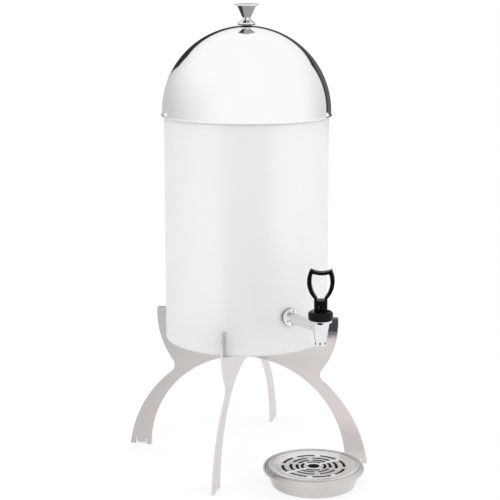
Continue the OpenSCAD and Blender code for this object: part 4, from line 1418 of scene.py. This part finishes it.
class DISPENSER_OT_stage(bpy.types.Operator):
    """Set the floor, the light and the camera"""
    bl_idname = "dispenser.stage"
    bl_label = "Stage"

    def execute(self, context):
        s = context.scene.dispenser_stage
        scene = context.scene
        scene.view_settings.view_transform = "Standard"
        self.floor(s)
        world = bpy.data.worlds.new("studio")
        scene.world = world
        world.use_nodes = True
        self.studio(Graph(world.node_tree), s)

        away = Vector((-math.sin(s.camera_turn), math.cos(s.camera_turn), 0.0))
        side = Vector((away.y, -away.x, 0.0))
        card_away, card_half, card_h = 1.1, 1.2, 0.42
        middle, half, top = away * card_away, side * card_half, UP * card_h
        self.card("white_card", [middle - half, middle + half, middle + half + top, middle - half + top],
                  (0.95, 0.95, 0.95))
        self.card("dark_card", [Vector((x, y, 0.001)) for x, y in DARK_CARD], (0.078, 0.09, 0.12))

        self.lamp("key_lamp", s.key, 0.5, (-1.3, -1.5, 1.9))
        self.lamp("fill_lamp", s.fill, 0.9, (1.7, -1.0, 1.5))
        blacks = bpy.data.collections.new("black_pieces")
        for name in ("tap_bonnet", "loop_handle"):
            blacks.objects.link(bpy.data.objects[name])
        self.strip("left_strip", s.strip, (side * -0.83 - away * 0.56) * 2.0 + UP, blacks)
        self.strip("right_strip", s.strip, (side * 0.69 - away * 0.72) * 2.0 + UP, blacks)

        data = bpy.data.cameras.new("photo_camera")
        data.lens, data.sensor_width = s.lens, 36.0
        data.shift_x, data.shift_y = 0.0069, -0.0253
        camera = bpy.data.objects.new("photo_camera", data)
        scene.collection.objects.link(camera)
        camera.location = (math.sin(s.camera_turn) * s.camera_away,
                           -math.cos(s.camera_turn) * s.camera_away, s.camera_h)
        camera.rotation_euler = (math.pi / 2 - s.camera_pitch, 0.0, s.camera_turn)
        scene.camera = camera
        return {"FINISHED"}

    def floor(self, s):
        """Pale round floor that stays nearly white in shadow."""
        pick()
        bpy.ops.mesh.primitive_circle_add(vertices=128, radius=s.floor_r, fill_type="NGON")
        floor = bpy.context.object
        floor.name = floor.data.name = "pale_floor"
        made, g = material("pale_floor")
        x, y, _ = g.axes(g.place())
        level = 1.0 - 0.17 * g.rays("Is Glossy Ray") * g.clip(y - x, 0.1, 0.6)
        matte = g.node("ShaderNodeBsdfDiffuse", None, {"Color": (0.85, 0.85, 0.85, 1.0)})
        g.show(g.blend(s.floor_glow, matte, g.glow(g.grey(level))))
        floor.data.materials.append(made)

    def card(self, name, corners, colour):
        """Flat card that only mirrors see."""
        card = start_piece(name, corners + corners[:1])
        weld()
        bpy.ops.mesh.edge_face_add()
        leave()
        made, g = material(name)
        g.show(g.glow((*colour, 1.0)))
        card.data.materials.append(made)
        card.visible_camera = card.visible_diffuse = card.visible_shadow = card.visible_transmission = False

    def lamp(self, name, power, size, place):
        """Square soft lamp that looks at the middle of the dispenser."""
        data = bpy.data.lights.new(name, "AREA")
        data.energy, data.size = power, size
        lamp = bpy.data.objects.new(name, data)
        bpy.context.scene.collection.objects.link(lamp)
        lamp.location = place
        lamp.rotation_euler = (UP * 0.35 - Vector(place)).to_track_quat("-Z", "Y").to_euler()
        lamp.visible_glossy = False
        return lamp

    def strip(self, name, power, place, pieces):
        """Upright strip lamp that draws a streak on a few pieces only."""
        lamp = self.lamp(name, power, 0.1, place)
        lamp.data.shape, lamp.data.size_y = "RECTANGLE", 0.7
        lamp.visible_glossy = True
        lamp.light_linking.receiver_collection = pieces

    def studio(self, g, s):
        """White surroundings, with a dark gap above the far edge of the white sweep in reflections."""
        ahead = math.pi / 2 + s.camera_turn
        x, y, z = g.axes(g.node("ShaderNodeTexCoord", out="Generated"))
        on = x * math.cos(ahead) + y * math.sin(ahead)
        left = y * math.cos(ahead) - x * math.sin(ahead)
        side = g.math("ARCTAN2", left, on) * math.degrees(1.0)
        rise = g.math("ARCSINE", z) * math.degrees(1.0)
        right = g.fade(side, -8.0, 2.0)
        near = g.clip(side, 0.0, 2.0)
        top = 20.0 + 2.5 * g.clip(side, 2.0, 14.0)
        foot = near * (side * 0.42 + side * side * 0.007 + 19.0) - 25.0
        inside = g.math("MINIMUM", side + 42.0 - 0.2 * rise, top - rise)
        gap = g.clip(inside, -1.2, 1.2) * g.fade(side, 31.0, 34.0) * g.clip(rise - foot, -1.0, 1.0)
        shade = 0.03 + right * 0.09 * g.clip(inside, 3.0, 10.0)
        dim = 0.42 * near * g.fade(side, 35.0, 160.0)
        dim = dim + 0.27 * right * g.fade(0.0 - side, 50.0, 105.0)
        dim = dim * g.fade(rise, -5.0, 45.0) * (1.0 - gap)
        level = 1.0 - g.rays("Is Glossy Ray") * (gap * (1.0 - shade) + dim)
        seen = g.rays("Is Camera Ray", "Is Glossy Ray", "Is Transmission Ray")
        ambient = g.node("ShaderNodeBackground", None, {"Color": WHITE, "Strength": s.ambient})
        shown = g.node("ShaderNodeBackground", None, {"Color": g.grey(level), "Strength": 1.0})
        g.node("ShaderNodeOutputWorld", None, {"Surface": g.blend(seen, ambient, shown)})


OPERATORS = (
    DISPENSER_OT_stand, DISPENSER_OT_tank, DISPENSER_OT_core, DISPENSER_OT_dome, DISPENSER_OT_knob,
    DISPENSER_OT_tap, DISPENSER_OT_collar, DISPENSER_OT_bonnet, DISPENSER_OT_spring, DISPENSER_OT_handle,
    DISPENSER_OT_tray, DISPENSER_OT_grid, DISPENSER_OT_fittings, DISPENSER_OT_stage,
)
SETTINGS = {
    "dispenser_stand": StandSizes, "dispenser_tank": TankSizes, "dispenser_dome": DomeSizes,
    "dispenser_tap": TapSizes, "dispenser_handle": HandleSizes, "dispenser_tray": TraySizes,
    "dispenser_finishes": Finishes, "dispenser_stage": StageSettings,
}


class DISPENSER_PT_pieces(bpy.types.Panel):
    """Lists the pieces of the dispenser"""
    bl_idname = "DISPENSER_PT_pieces"
    bl_label = "Milk dispenser"
    bl_space_type = "VIEW_3D"
    bl_region_type = "UI"
    bl_category = "Dispenser"

    def draw(self, context):
        for operator in OPERATORS:
            self.layout.operator(operator.bl_idname)


CLASSES = (*SETTINGS.values(), *OPERATORS, DISPENSER_PT_pieces)


def register():
    for cls in CLASSES:
        bpy.utils.register_class(cls)
    for name, group in SETTINGS.items():
        setattr(bpy.types.Scene, name, PointerProperty(type=group))


def unregister():
    for name in SETTINGS:
        delattr(bpy.types.Scene, name)
    for cls in reversed(CLASSES):
        bpy.utils.unregister_class(cls)


def main():
    register()
    for operator in OPERATORS:
        group, name = operator.bl_idname.split(".")
        getattr(getattr(bpy.ops, group), name)()


if __name__ == "__main__":
    main()
